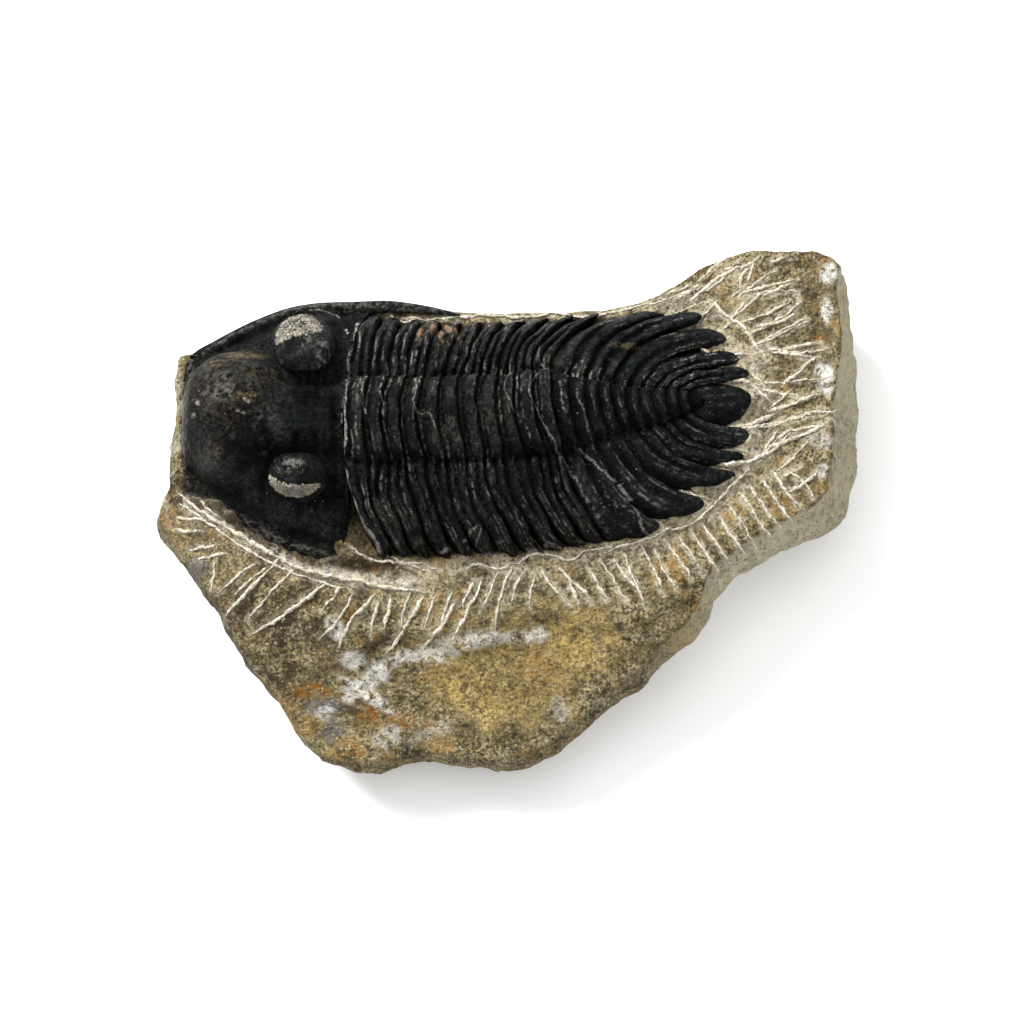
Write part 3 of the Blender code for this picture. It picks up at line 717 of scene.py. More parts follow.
@dataclass(frozen=True)
class AnimalPlan:
    """The animal's stations, widths, heights and outlines, in millimetres."""

    head_front: float = -39.9
    thorax_front: float = -19.3
    pitch: float = 2.27
    axis_half_width: float = 5.2
    left_half_width: float = 15.6
    right_half_width: float = 14.5
    right_narrowing: float = 0.15
    shell_floor: float = 21.15
    margin_z: float = 22.3
    crest_z: float = 34.0
    crest_drop: float = 8.6
    axis_arch: float = 3.3
    tail_axis_length: float = 17.5
    ring_bow: float = 0.8
    left_sweep: Pair = (3.3, 4.1)
    right_sweep: Pair = (1.6, 8.6)
    midline_start: float = -40.0
    midline_step: float = 10.0
    midline_y: tuple[float, ...] = (9.2, 9.0, 8.7, 8.6, 9.0, 10.3, 11.7, 12.8)
    head_right: Path = (
        (0.0, 0.0), (-0.1, 4.6), (0.2, 8.2), (1.3, 9.7), (3.4, 11.0), (5.6, 12.3), (8.4, 13.8), (11.9, 15.3),
        (15.5, 16.1), (19.8, 16.4), (22.9, 16.3), (24.4, 15.7),
    )
    head_left: Path = (
        (0.0, 0.0), (-0.1, 4.4), (0.2, 8.2), (1.8, 9.0), (3.7, 9.6), (7.4, 11.9), (12.5, 14.5), (16.1, 15.5),
        (18.5, 16.2),
    )
    broken_corner: float = 4.9
    right_notches: Path = ((8.8, 12.2), (14.1, 10.9), (15.7, 9.4), (17.9, 6.6), (20.2, 4.6), (19.5, 2.6))
    right_tips: Path = ((14.4, 12.4), (18.6, 11.1), (21.1, 8.2), (22.6, 5.4), (23.4, 3.4))
    left_notches: Path = ((4.3, 15.8), (9.1, 13.4), (12.2, 10.2), (15.0, 7.6), (17.7, 5.7), (19.2, 3.4))
    left_tips: Path = ((9.7, 15.3), (15.5, 12.8), (20.0, 9.4), (21.9, 7.1), (22.8, 4.8))
    end_notch: Pair = (21.4, 0.0)
    end_tip: Pair = (23.6, 0.0)

    @property
    def tail_front(self) -> float:
        """Station of the tail's front edge."""
        return self.thorax_front + THORAX_COUNT * self.pitch

    def midline(self, station: Array) -> Array:
        """World Y of the midline at a station."""
        points = np.column_stack([self.midline_y, self.midline_y])
        return through(points, (np.asarray(station, float) - self.midline_start) / self.midline_step)[..., 0]

    def place(self, station: Array, offset: Array) -> tuple[Array, Array]:
        """World X and Y of a place at a station and an offset to the right."""
        slope = self.midline(station + 0.5) - self.midline(station - 0.5)
        turn = 1.0 / np.sqrt(1.0 + slope**2)
        return station - offset * slope * turn, self.midline(station) + offset * turn

    def crest(self, station: Array) -> Array:
        """Height of the back at a station."""
        return self.crest_z - self.crest_drop * smooth(station, self.tail_front - 6.0, self.tail_front + 24.0)

    def pleural_share(self, offset: Array, index: float) -> Array:
        """0 on the axis, growing to 1 at the tips of the segment with that index."""
        half_width = np.where(
            offset > 0.0, self.right_half_width - self.right_narrowing * index, self.left_half_width
        )
        return unit((np.abs(offset) - self.axis_half_width) / (half_width - self.axis_half_width))

    def sweep(self, offset: Array, index: float) -> Array:
        """How far a segment's line lies behind its place at the furrow beside the axis."""
        along = max(0.0, index / THORAX_COUNT) ** 1.5
        right = self.right_sweep[0] + (self.right_sweep[1] - self.right_sweep[0]) * along
        left = self.left_sweep[0] + (self.left_sweep[1] - self.left_sweep[0]) * along
        bow = self.ring_bow * np.maximum(0.0, 1.0 - (offset / self.axis_half_width) ** 2)
        return np.where(offset > 0.0, right, left) * self.pleural_share(offset, index) ** 2 - bow

    def thorax_height(self, station: Array, offset: Array, index: float) -> Array:
        """The smooth back of the thorax, before its rings and ridges."""
        v = self.pleural_share(offset, index)
        shoulder = self.crest(station) - self.axis_arch
        flank = self.margin_z + (shoulder - self.margin_z) * (1.0 - 0.1 * v - 0.9 * v**4)
        return flank + self.axis_arch * arch(np.clip(offset / self.axis_half_width, -1.0, 1.0))

    def head_margin(self, steps: int) -> Array:
        """The head's margin from its left rear corner round the front to its right one."""
        left = through(self.head_left, np.linspace(0.0, len(self.head_left) - 1.0, steps)) * (1.0, -1.0)
        right = through(self.head_right, np.linspace(0.0, len(self.head_right) - 1.0, steps))
        return np.vstack([left[:0:-1], right]) + (self.head_front, 0.0)

    def tail_margin(self, rib: float, notches: Path, tips: Path) -> Array:
        """One side's margin at a rib position, out to the spine's tip in the middle of each rib."""
        notch = through([*notches, self.end_notch], rib if rib <= 5.0 else 5.0 + 2.0 * (rib - 5.0))
        tip = through([*tips, self.end_tip], max(rib - 0.5, 0.0))
        centred = abs(2.0 * (rib % 1.0) - 1.0)
        power, bluntness = (2.5, 0.7) if rib <= 5.0 else (1.7, 0.9)
        return notch + (tip - notch) * max(0.0, 1.0 - centred**power) ** bluntness

    def outline(self) -> Array:
        """The animal's whole outline seen from above, as world X and Y."""
        margin = self.head_margin(30)
        index = np.arange(THORAX_COUNT)
        front = self.thorax_front + self.pitch * (index + 0.5)
        right_tip = self.right_half_width - self.right_narrowing * index
        right = np.array(
            [[f + self.sweep(np.array([o]), i)[0], o] for f, o, i in zip(front, right_tip, index)]
        )
        left_tip = -self.left_half_width
        left = np.array(
            [[f + self.sweep(np.array([left_tip]), i)[0], left_tip] for f, i in zip(front, index)]
        )
        ribs = np.linspace(0.0, 5.5, 67)
        tail_right = np.array([self.tail_margin(r, self.right_notches, self.right_tips) for r in ribs])
        tail_left = (
            np.array([self.tail_margin(r, self.left_notches, self.left_tips) for r in ribs]) * (1.0, -1.0)
        )
        tail = np.vstack([tail_right, tail_left[::-1]]) + (self.tail_front, 0.0)
        places = np.vstack([margin, right, tail, left[::-1]])
        return np.column_stack(self.place(places[:, 0], places[:, 1]))


PLAN = AnimalPlan()


@dataclass
class ThoraxSegment:
    """One ring of the thorax, with an arched axis and a furrowed rib on each side."""

    index: int
    rows: int = 36
    half_columns: int = 150
    overlap: float = 0.02
    tip_narrowing: float = 0.26

    def across(self) -> Array:
        """Positions from the left tip (-1) to the right tip (1), closer together at the axis."""
        half = np.linspace(0.0, 1.0, self.half_columns)
        return np.concatenate([-half[:0:-1], half])

    def relief(self, share: Array, offset: Array, v: Array, place: Array) -> tuple[Array, Array]:
        """The segment's rings and ridges.

        Args:
            share: 0 at the front edge to 1 at the rear.
            offset: Offset from the midline.
            v: 0 on the axis to 1 at the tip.
            place: World places, for its unevenness.

        Returns:
            The relief in millimetres, and how much of a ridge each point is, 0 to 1.
        """
        wander = 0.07 * lattice_noise(place, 2.6, 50 + self.index) + 0.03 * lattice_noise(place, 0.7, 51)
        f = unit(share + wander * smooth(share, 0.0, 0.15) * (1.0 - smooth(share, 0.85, 1.0)))
        merge = smooth(v, 0.5, 0.8)
        split = 0.5 + 0.06 * lattice_noise(place, 4.0, 52)
        groove = bump(f, 0.0, 0.12) + bump(f, 1.0, 0.12) + (1.0 - 0.8 * merge) * bump(f, split, 0.11)
        rib = 0.25 - (0.66 + 0.1 * merge) * unit(groove)
        rib = rib + 0.2 * lattice_noise(place, 1.7, 53 + self.index)
        on_axis = smooth(PLAN.axis_half_width - np.abs(offset), -0.2, 0.4)
        band = smooth(f, 0.3, 0.5) * (1.0 - smooth(f, 0.86, 1.0))
        ring = 1.0 * band - 0.74 + 0.36 * bump(f, 0.14, 0.09) + 0.3 * lattice_noise(place, 1.5, 54)
        beside = PLAN.axis_half_width + 0.4 * lattice_noise(place, 2.2, 56)
        furrow = -0.6 * bump(np.abs(offset), beside, 0.5)
        knob = 0.3 * bump(np.abs(offset), PLAN.axis_half_width - 1.1, 0.6) * band
        height = rib * (1.0 - on_axis) + (ring + knob) * on_axis + furrow
        crest = (1.0 - unit(1.6 * groove)) * (1.0 - on_axis)
        crest = crest + on_axis * np.maximum(band, 0.7 * bump(f, 0.14, 0.09))
        return height, unit(crest)

    def build(self, shell: Material) -> Object:
        """Builds the segment and gives it its shell."""
        t = self.across()
        right = PLAN.right_half_width - PLAN.right_narrowing * self.index
        offset = t * np.where(t > 0.0, right, PLAN.left_half_width)
        share = np.linspace(0.0, 1.0, self.rows)[:, None] + 0.0 * t
        offset = offset + 0.0 * share
        v = PLAN.pleural_share(offset, self.index)
        outer = smooth(v, 0.6, 1.0)
        blunt = np.sqrt(unit(1.0 - (np.clip(v - 0.9, 0.0, 0.1) / 0.1) ** 2))
        length = PLAN.pitch - self.overlap
        width = (1.0 - self.tip_narrowing * outer) * blunt
        station = (
            PLAN.thorax_front + PLAN.pitch * self.index + self.overlap / 2
            + length * (0.5 + (share - 0.5) * width)
        )
        station = station + PLAN.sweep(offset, self.index)
        x, y = PLAN.place(station, offset)
        z = PLAN.thorax_height(station, offset, self.index)
        place = np.stack([x, y, z], -1).reshape(-1, 3)
        relief, ridge = self.relief(share.ravel(), offset.ravel(), v.ravel(), place)
        edge = (np.abs(2.0 * share - 1.0) ** 8).ravel() * (0.15 + 0.9 * v.ravel() ** 3)
        rough = 0.18 * broken(place, 3.2, 4, 7) + 0.08 * broken(place, 0.7, 2, 9, True)
        rough = rough + 0.25 * smooth(v.ravel(), 0.55, 0.9) * broken(place, 1.5, 3, 10)
        top = settled(place)
        top[:, 2] += relief - edge + rough
        top[:, 2] = np.maximum(top[:, 2], PLAN.shell_floor + 0.55)
        wear_and_highlight = smooth(broken(place, 4.0, 3, 21), -0.25, 0.5)
        crest_highlight_patches = 0.3 + 0.7 * smooth(broken(place, 1.6, 4, 38), -0.3, 0.4)
        lines = pale_lines(share.ravel(), (0.17, 0.4, 0.64, 0.86), place, 24)
        dusty = (1.0 - ridge) * smooth(broken(place, 5.0, 3, 33), -0.1, 0.6)
        chipped_tips = smooth(v.ravel(), 0.8, 1.0) * smooth(broken(place, 1.4, 4, 37), 0.15, 0.4)
        # crest is painted highlight on the ridge tops, and ridge is pale lines of wear and painted highlight;
        # both are made stronger towards the right side, painted light that makes that side lighter.
        masks = {
            "crest": ridge**2 * crest_highlight_patches * (0.62 + 0.6 * smooth(offset.ravel(), -3.0, 6.0)),
            "tan": Stains.worn_tan(place),
            "ridge": lines * (0.35 + 0.65 * wear_and_highlight) * (0.6 + 0.4 * smooth(offset.ravel(), 0.0, 5.0)),
            "furrow": unit(dusty + Stains.dusting(place)),
            "stain": Stains.amount(place),
            "chalk": np.maximum(Chips.amount(place), chipped_tips),
        }
        piece = plate(
            f"thorax_plate_{self.index + 1:02d}", top.reshape(self.rows, -1, 3), PLAN.shell_floor, masks
        )
        piece.data.materials.append(shell)
        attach(piece, "root")
        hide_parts(f"thorax_segment_{self.index + 1:02d}")
        return piece


def settled(place: Array) -> Array:
    """Shell places after the small shifts that pressure in the rock gave them."""
    moved = place.copy()
    moved[:, 0] += 0.42 * lattice_noise(place, 4.6, 101) + 0.17 * lattice_noise(place, 1.6, 102)
    moved[:, 1] += 0.22 * lattice_noise(place, 3.6, 103) + 0.10 * lattice_noise(place, 1.2, 104)
    return moved


def pale_lines(
    share: Array, positions: tuple[float, ...], place: Array, seed: int, width: float = 0.05
) -> Array:
    """Thin pale lines along a plate, partly wear and partly painted highlight along the ridge edges.

    Args:
        share: 0 at the plate's front edge to 1 at its rear.
        positions: Where on that scale the lines lie.
        place: Places in millimetres.
        seed: Which pattern of gaps the lines have.
        width: Half width of a line on that scale.

    Returns:
        How strong a line is at each place, 0 to 1.
    """
    share = share + 0.05 * lattice_noise(place, 1.1, seed + 1)
    gaps = [broken(place * (0.6, 0.7, 1.0), 3.0, 4, seed + 3 * k) for k in range(len(positions))]
    return np.max(
        [bump(share, at, width) * smooth(gap, -0.06, 0.22) for at, gap in zip(positions, gaps)], axis=0
    )


class Stains:
    """Brown, dusty and tan patches on the shell, each (x, y, half length, half width, strength)."""

    PATCHES = (
        (-32.3, 16.6, 2.6, 1.4, 1.0), (-30.0, 13.6, 2.2, 1.6, 0.3), (-35.3, 4.2, 1.3, 1.5, 0.3),
        (-10.8, 20.2, 0.5, 1.6, 1.0), (-9.2, 20.9, 0.5, 1.2, 1.0), (-7.7, 20.4, 0.5, 1.5, 1.0),
        (13.4, 18.2, 1.8, 0.5, 0.4),
        (-34.0, 12.0, 6.0, 5.0, 0.15), (-35.6, 15.2, 1.6, 1.0, 0.7), (-31.4, 10.4, 1.8, 0.9, 0.6),
    )

    DUSTY = (
        (-35.0, 9.0, 4.0, 5.0, 0.4), (-31.0, 17.6, 2.6, 1.8, 0.6), (-14.5, -3.0, 3.0, 2.4, 0.9),
        (-7.6, 5.9, 1.7, 2.0, 1.6), (-4.6, 5.0, 1.4, 1.6, 1.1),
        (-2.0, 8.0, 3.4, 4.0, 0.5), (-8.5, 19.5, 7.0, 3.0, 0.6), (3.0, 18.0, 6.0, 4.0, 0.4),
        (-27.5, 6.4, 1.4, 1.4, 0.8),
        (-29.0, -3.0, 2.6, 2.0, 0.5), (8.0, -3.0, 3.0, 2.0, 0.5), (-18.0, 10.0, 1.6, 8.0, 0.4),
        (-24.0, 23.0, 6.0, 1.2, 0.5),
    )

    TAN = (
        (-11.1, 19.7, 0.36, 1.6, 1.0), (-9.5, 20.2, 0.4, 1.2, 1.0), (-7.8, 20.4, 0.5, 1.0, 1.0),
        (-8.6, 18.9, 0.26, 1.2, 1.0), (-6.9, 19.7, 0.25, 1.2, 1.0),
    )

    @classmethod
    def worn_tan(cls, place: Array) -> Array:
        """How much of its tan inside each place of the thorax shows, 0 to 1."""
        return patches(place, cls.TAN, 0.3 * broken(place, 1.0, 3, 64), 0.6, 1.1)

    @classmethod
    def dusting(cls, place: Array) -> Array:
        """How dusty each place is, 0 to 1."""
        return patches(place, cls.DUSTY, 0.4 * broken(place, 2.0, 4, 63), 0.4, 1.2)

    @classmethod
    def amount(cls, place: Array) -> Array:
        """How brown each place is, 0 to 1."""
        return patches(place, cls.PATCHES, 0.35 * broken(place, 1.6, 3, 61), 0.55, 1.15)


class Chips:
    """Pale cracks and chips in the shell: half widths, and lines in tenths of a millimetre."""

    LINES = (
        (0.16, ((-186, 214), (-194, 170), (-196, 130), (-200, 86), (-196, 40), (-193, 8), (-187, -22),
            (-174, -46), (-159, -64))), (0.2, ((-148, -68), (-122, -74), (-96, -79))),
        (0.13, ((82, 52), (102, 30), (126, 9), (144, -13), (154, -34), (179, -52))),
        (0.1, ((-116, 134), (-113, 116), (-115, 94), (-96, 82), (-89, 66))),
        (0.1, ((-158, 120), (-156, 104), (-151, 80))), (0.1, ((-182, 130), (-179, 110), (-176, 84))),
        (0.1, ((56, 126), (59, 108), (64, 86))), (0.1, ((79, 104), (88, 88), (94, 68))),
        (0.09, ((4, 146), (-10, 124), (-6, 106), (4, 88))),
        (0.09, ((44, 150), (22, 120), (26, 96), (42, 64), (62, 36), (80, 10))),
        (0.09, ((36, 186), (34, 166), (42, 144))), (0.1, ((-58, -54), (-38, -40), (-46, -62))),
        (0.1, ((-14, -60), (-4, -86))), (0.1, ((54, -42), (80, -66), (96, -82))),
        (0.2, ((-373, 99), (-371, 97))), (0.15, ((-378, 84), (-376, 84))), (0.18, ((-316, 100), (-312, 96))),
        (0.2, ((-202, 208), (-199, 202))), (0.1, ((-324, 84), (-316, 82))),
        (0.1, ((-210, 226), (-226, 234), (-246, 236))),
    )

    @classmethod
    def amount(cls, place: Array) -> Array:
        """How chalky each place is, 0 to 1."""
        total = np.zeros(len(place))
        ragged = 1.0 + 0.9 * broken(place, 0.7, 2, 71)
        bent = place[:, :2] + 0.3 * np.column_stack([broken(place, 1.3, 3, 72), broken(place, 1.3, 3, 73)])
        for width, line in cls.LINES:
            path = through(np.array(line) / 10.0, np.linspace(0.0, len(line) - 1.0, 4 * len(line)))
            reach, _ = distance_to_path(bent, path)
            narrow = smooth(reach / (width * np.maximum(ragged, 0.1)), 0.5, 1.3)
            total = np.maximum(total, min(1.0, 5.5 * width) * (1.0 - narrow))
        return total


@dataclass
class TailShield:
    """The tail: a ringed axis, and ribs that run out into blunt spines."""

    ribs: float = 5.5
    rows_per_rib: int = 30
    side_columns: int = 84
    axis_columns: int = 44

    def side(self, rib: float, sign: float, start: float, half: float, end: Array) -> tuple[Array, Array]:
        """A line from the furrow beside the axis out to the margin, as distances and offsets."""
        v = np.linspace(1.0, 0.0, self.side_columns)[:, None]
        bend = np.array([start + 0.2 * (end[0] - start), half + 0.9 * (end[1] - half)])
        line = (1.0 - v) ** 2 * np.array([start, half]) + 2.0 * v * (1.0 - v) * bend + v**2 * end
        offset = half + (end[1] - half) * v[:, 0]
        front = np.column_stack([start + PLAN.sweep(sign * offset, THORAX_COUNT), offset])
        return v[:, 0], line + (front - line) * max(0.0, 1.0 - rib)

    def row(self, rib: float) -> tuple[Array, Array]:
        """One line of the tail from its left margin over the axis to its right margin.

        Args:
            rib: Which rib, counted from 0 at the front.

        Returns:
            The row's points, and how much of a ridge each is.
        """
        late = rib / self.ribs
        start = PLAN.tail_axis_length * late**0.9
        taper = max(0.0, 1.0 - late**4.0) ** 0.6
        half = (2.0 + (PLAN.axis_half_width - 2.0) * math.exp(-start / 5.0)) * taper
        blunt = math.sqrt(max(0.0, 1.0 - late**8))
        arch_height = PLAN.axis_arch * (1.0 - 0.45 * late)
        shoulder = float(PLAN.crest(PLAN.tail_front + start)) - arch_height
        phase = rib % 1.0
        centred = abs(2.0 * phase - 1.0)
        rim = PLAN.margin_z + 0.1 + 1.0 * math.sqrt(max(0.0, 1.0 - centred**2.2))
        end_lobe = float(smooth(rib, 4.95, 5.1))
        split = float(bump(phase, 0.5, 0.11)) * (1.0 - end_lobe)
        gap = float(bump(phase, 0.0, 0.1) + bump(phase, 1.0, 0.1)) * (1.0 - 0.8 * end_lobe)
        columns, heights, ridges = [], [], []
        for sign, notches, tips in (
            (-1.0, PLAN.left_notches, PLAN.left_tips), (1.0, PLAN.right_notches, PLAN.right_tips)
        ):
            v, line = self.side(rib, sign, start, half, PLAN.tail_margin(rib, notches, tips))
            z = rim + (shoulder - rim) * (1.0 - 0.3 * v - 0.7 * v**3)
            near = np.exp(-((v / 0.07) ** 2))
            outer = smooth(v, 0.55, 0.85)
            z = (
                z + 0.15 - (0.55 + 0.1 * outer) * gap - 0.55 * split * (1.0 - 0.9 * outer)
                - 0.75 * near * blunt
            )
            z = z - 0.8 * smooth(v, 0.965, 1.0)
            ridge = unit(1.0 - 1.5 * gap - 1.5 * split * (1.0 - outer)) * smooth(v, 0.0, 0.1)
            for store, values in ((columns, line * (1.0, sign)), (heights, z), (ridges, ridge)):
                store.append(values[:: -int(sign)])
        share = np.linspace(-1.0, 1.0, self.axis_columns + 2)[1:-1]
        ring_phase = (2.0 * rib) % 1.0
        ring = 1.0 * abs(math.sin(math.pi * ring_phase)) ** 0.6 - 0.9
        axis_s = start - PLAN.ring_bow * (half / PLAN.axis_half_width) * (1.0 - share**2)
        axis_z = (
            shoulder + (arch_height * arch(share) + ring * smooth(1.0 - np.abs(share), 0.0, 0.25)) * blunt
        )
        axis_ridge = np.full(len(share), float(bump(ring_phase, 0.55, 0.25)))
        distance_offset = np.vstack([columns[0], np.column_stack([axis_s, share * half]), columns[1]])
        z = np.concatenate([heights[0], axis_z, heights[1]])
        x, y = PLAN.place(PLAN.tail_front + 0.02 + distance_offset[:, 0], distance_offset[:, 1])
        return np.stack([x, y, z], -1), np.concatenate([ridges[0], axis_ridge, ridges[1]])

    def build(self, shell: Material) -> Object:
        """Builds the tail and gives it its shell."""
        count = int(self.ribs * self.rows_per_rib) + 1
        made = [self.row(k / self.rows_per_rib) for k in range(count)]
        top = np.array([m[0] for m in made])
        ridge = np.array([m[1] for m in made]).ravel()
        place = top.reshape(-1, 3).copy()
        rough = 0.34 * broken(place, 4.0, 4, 8) + 0.1 * broken(place, 0.9, 3, 9, True)
        folded = np.arange(len(place)) // top.shape[1] == count - 1
        shifted = settled(place) - place
        free = smooth(count - 1 - np.arange(len(place)) // top.shape[1], 0, 12)
        top.reshape(-1, 3)[:, :2] += np.where(folded[:, None], 0.0, shifted[:, :2]) * free[:, None]
        top.reshape(-1, 3)[:, 2] += np.where(folded, 0.0, rough)
        top[..., 2] = np.maximum(top[..., 2], PLAN.shell_floor + 0.35)
        wear_and_highlight = smooth(broken(place, 4.0, 3, 22), -0.25, 0.5)
        rib = np.repeat(np.arange(count) / self.rows_per_rib, top.shape[1])
        # Painted light: the +Y side of the tail is painted lighter in its crest highlight and its ridge
        # lines.
        lit_side_boost = 0.55 + 0.6 * smooth(place[:, 1], 8.0, 15.0)
        crest_highlight_patches = 0.3 + 0.7 * smooth(broken(place, 1.6, 4, 39), -0.3, 0.4)
        lines = pale_lines((2.0 * rib) % 1.0, (0.2, 0.45, 0.72), place, 26, 0.06)
        dusty = (1.0 - ridge) * smooth(broken(place, 5.0, 3, 34), 0.0, 0.7)
        # crest is painted highlight on the rib tops; ridge is pale lines of wear and painted highlight.
        masks = {
            "crest": ridge**2 * crest_highlight_patches * np.where(rib > 5.0, 0.4, 1.0) * lit_side_boost,
            "ridge": lines * (0.3 + 0.7 * wear_and_highlight) * np.where(rib > 5.0, 0.3, 1.0) * lit_side_boost,
            "furrow": unit(dusty + Stains.dusting(place)),
            "stain": Stains.amount(place),
            "chalk": Chips.amount(place),
        }
        piece = plate("tail_shield", top, PLAN.shell_floor, masks, folded=True)
        piece.data.materials.append(shell)
        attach(piece, "root")
        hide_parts("pygidium")
        return piece


@dataclass
class HeadShield:
    """The head: a steep dome in front, furrowed lobes behind it, and cheeks with a rolled border."""

    margin_steps: int = 190
    rows: int = 170
    dome_centre: float = 6.7
    dome_half_length: float = 7.2
    dome_half_width: float = 8.4
    dome_offset: float = 0.3
    dome_base: float = 25.0
    dome_height: float = 9.6
    neck_half_width: float = 4.2
    neck_z: float = 29.2
    neck_arch: float = 3.4
    cheek_rise: float = 6.6
    highest: float = 34.68
    lobe_furrows: Table = ((13.6, 0.75, 1.7), (15.9, 0.75, 1.6), (19.0, 1.1, -1.0))

    def height(self, station: Array, offset: Array, distance: Array) -> Array:
        """Height of the head at each place.

        Args:
            station: Stations.
            offset: Offsets from the midline.
            distance: How far each place lies inside the margin.

        Returns:
            The heights.
        """
        s = station - PLAN.head_front
        margin_z = PLAN.margin_z
        cheek = margin_z + 0.2 + self.cheek_rise * (1.0 - np.exp(-((distance / 5.5) ** 1.3)))
        cheek = (
            cheek - 0.7 * bump(s, 19.3, 0.55) * smooth(np.abs(offset), 4.0, 6.0) * smooth(distance, 0.6, 2.0)
        )
        along, out = (
            (s - self.dome_centre) / self.dome_half_length, (offset - self.dome_offset) / self.dome_half_width
        )
        plan = 1.0 - along**2 - out**2
        dome = self.dome_base + self.dome_height * np.sign(plan) * np.abs(plan) ** 0.5
        behind = smooth(s, 6.0, 13.0)
        neck_width = self.neck_half_width + 1.0 * smooth(s, 18.0, 20.5)
        out = np.clip(np.abs(offset) / neck_width, 0.0, 1.6)
        neck = self.neck_z + self.neck_arch * (1.0 - out**2.2) - 8.0 * (1.0 - behind)
        for furrow, depth, reach in self.lobe_furrows:
            line = bump(s, furrow + 0.25 * np.abs(offset) * (reach > 0), 0.5)
            neck = neck - depth * line * smooth(np.abs(offset), reach, reach + 1.0)
        height = smooth_max(smooth_max(cheek, dome, 3.4), neck, 2.6)
        height = height - 0.7 * bump(np.abs(offset), neck_width + 0.2, 0.6) * behind
        border = 0.45 * bump(distance, 0.75, 0.55) - 0.55 * bump(distance, 1.9, 0.5)
        height = height + border * smooth(s, 1.5, 4.0)
        roll = unit(distance / 1.7)
        return margin_z + (height - margin_z) * np.sqrt(1.0 - (1.0 - roll) ** 2)

    def damage(self, place: Array) -> Array:
        """How far breakage lowers each place, in millimetres."""
        hollow = 3.4 * bump(place[:, 0], -38.0, 1.7) * bump(place[:, 1], 3.4, 2.6)
        chip = 0.7 * bump(place[:, 0], -32.5, 2.0) * bump(place[:, 1], 17.0, 0.7)
        return (hollow + chip) * (1.0 + 0.4 * broken(place, 1.2, 2, 81))

    def build(self, shell: Material) -> Object:
        """Builds the head and gives it its shell."""
        margin = PLAN.head_margin(self.margin_steps)
        half = np.linspace(0.0, 1.0, self.margin_steps)
        across = np.concatenate([-half[:0:-1], half])
        rear_offset = np.where(across < 0, across * PLAN.head_left[-1][1], across * PLAN.head_right[-1][1])
        rear_station = PLAN.thorax_front - 0.05 + PLAN.sweep(rear_offset, 0)
        rear_station = rear_station - PLAN.broken_corner * np.maximum(0.0, -across) ** 4
        rear_station[0], rear_station[-1] = margin[0, 0], margin[-1, 0]
        share = (np.linspace(0.0, 1.0, self.rows) ** 1.25)[:, None]
        station = margin[:, 0] + (rear_station - margin[:, 0]) * share
        offset = margin[:, 1] + (rear_offset - margin[:, 1]) * share
        x, y = PLAN.place(station, offset)
        flat = np.column_stack([station.ravel(), offset.ravel()])
        distance, _ = distance_to_path(flat, margin[::5])
        z = self.height(station.ravel(), offset.ravel(), distance)
        rear_edge = smooth(share + 0.0 * across, 0.955, 1.0).ravel()
        place = np.column_stack([x.ravel(), y.ravel(), z - 0.9 * rear_edge])
        swell = smooth(distance, 0.5, 3.0)
        s = station.ravel() - PLAN.head_front
        on_dome = bump(s, self.dome_centre, 6.0) * bump(offset.ravel(), 0.0, 8.0)
        pimples = 0.05 * smooth(lattice_noise(place, 0.42, 91), 0.15, 0.7) * on_dome
        top = place.copy()
        lumps = 0.5 * broken(place, 4.6, 5, 5) + 0.13 * broken(place, 1.1, 3, 6, True)
        lumps = (
            lumps + on_dome * (0.5 * lattice_noise(place, 5.0, 92) + 0.12 * broken(place, 0.8, 2, 93, True))
        )
        wrinkles = 0.2 * (1.0 - on_dome) * broken(place * (1.0, 0.35, 0.35), 1.1, 3, 14, True)
        top[:, 2] += swell * (lumps + wrinkles) + pimples
        top[:, 2] -= self.damage(place)
        top[:, 2] = np.clip(top[:, 2], PLAN.shell_floor + 0.5, self.highest)
        low = smooth(z - top[:, 2], 0.0, 0.8)
        dusty = 0.6 * smooth(broken(place, 3.0, 4, 35), 0.15, 0.7)
        masks = {
            # crest is painted highlight on the tops of the lumps and wrinkles; ridge is pale patches on the
            # dome and a pale line along the rolled border, partly wear and partly painted highlight.
            "crest": smooth(lumps + 1.6 * wrinkles, -0.05, 0.45) * swell * (0.45 + 0.35 * on_dome),
            "ridge": (
                0.35 * on_dome * smooth(broken(place, 2.5, 4, 23), 0.0, 0.7) + 0.25 * bump(distance, 0.6, 0.4)
            ),
            "furrow": unit(0.5 * low + dusty + Stains.dusting(place)),
            "stain": Stains.amount(place),
            "chalk": Chips.amount(place),
        }
        piece = plate("head_shield", top.reshape(self.rows, -1, 3), PLAN.shell_floor, masks)
        piece.data.materials.append(shell)
        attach(piece, "root")
        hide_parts("cephalon")
        return piece


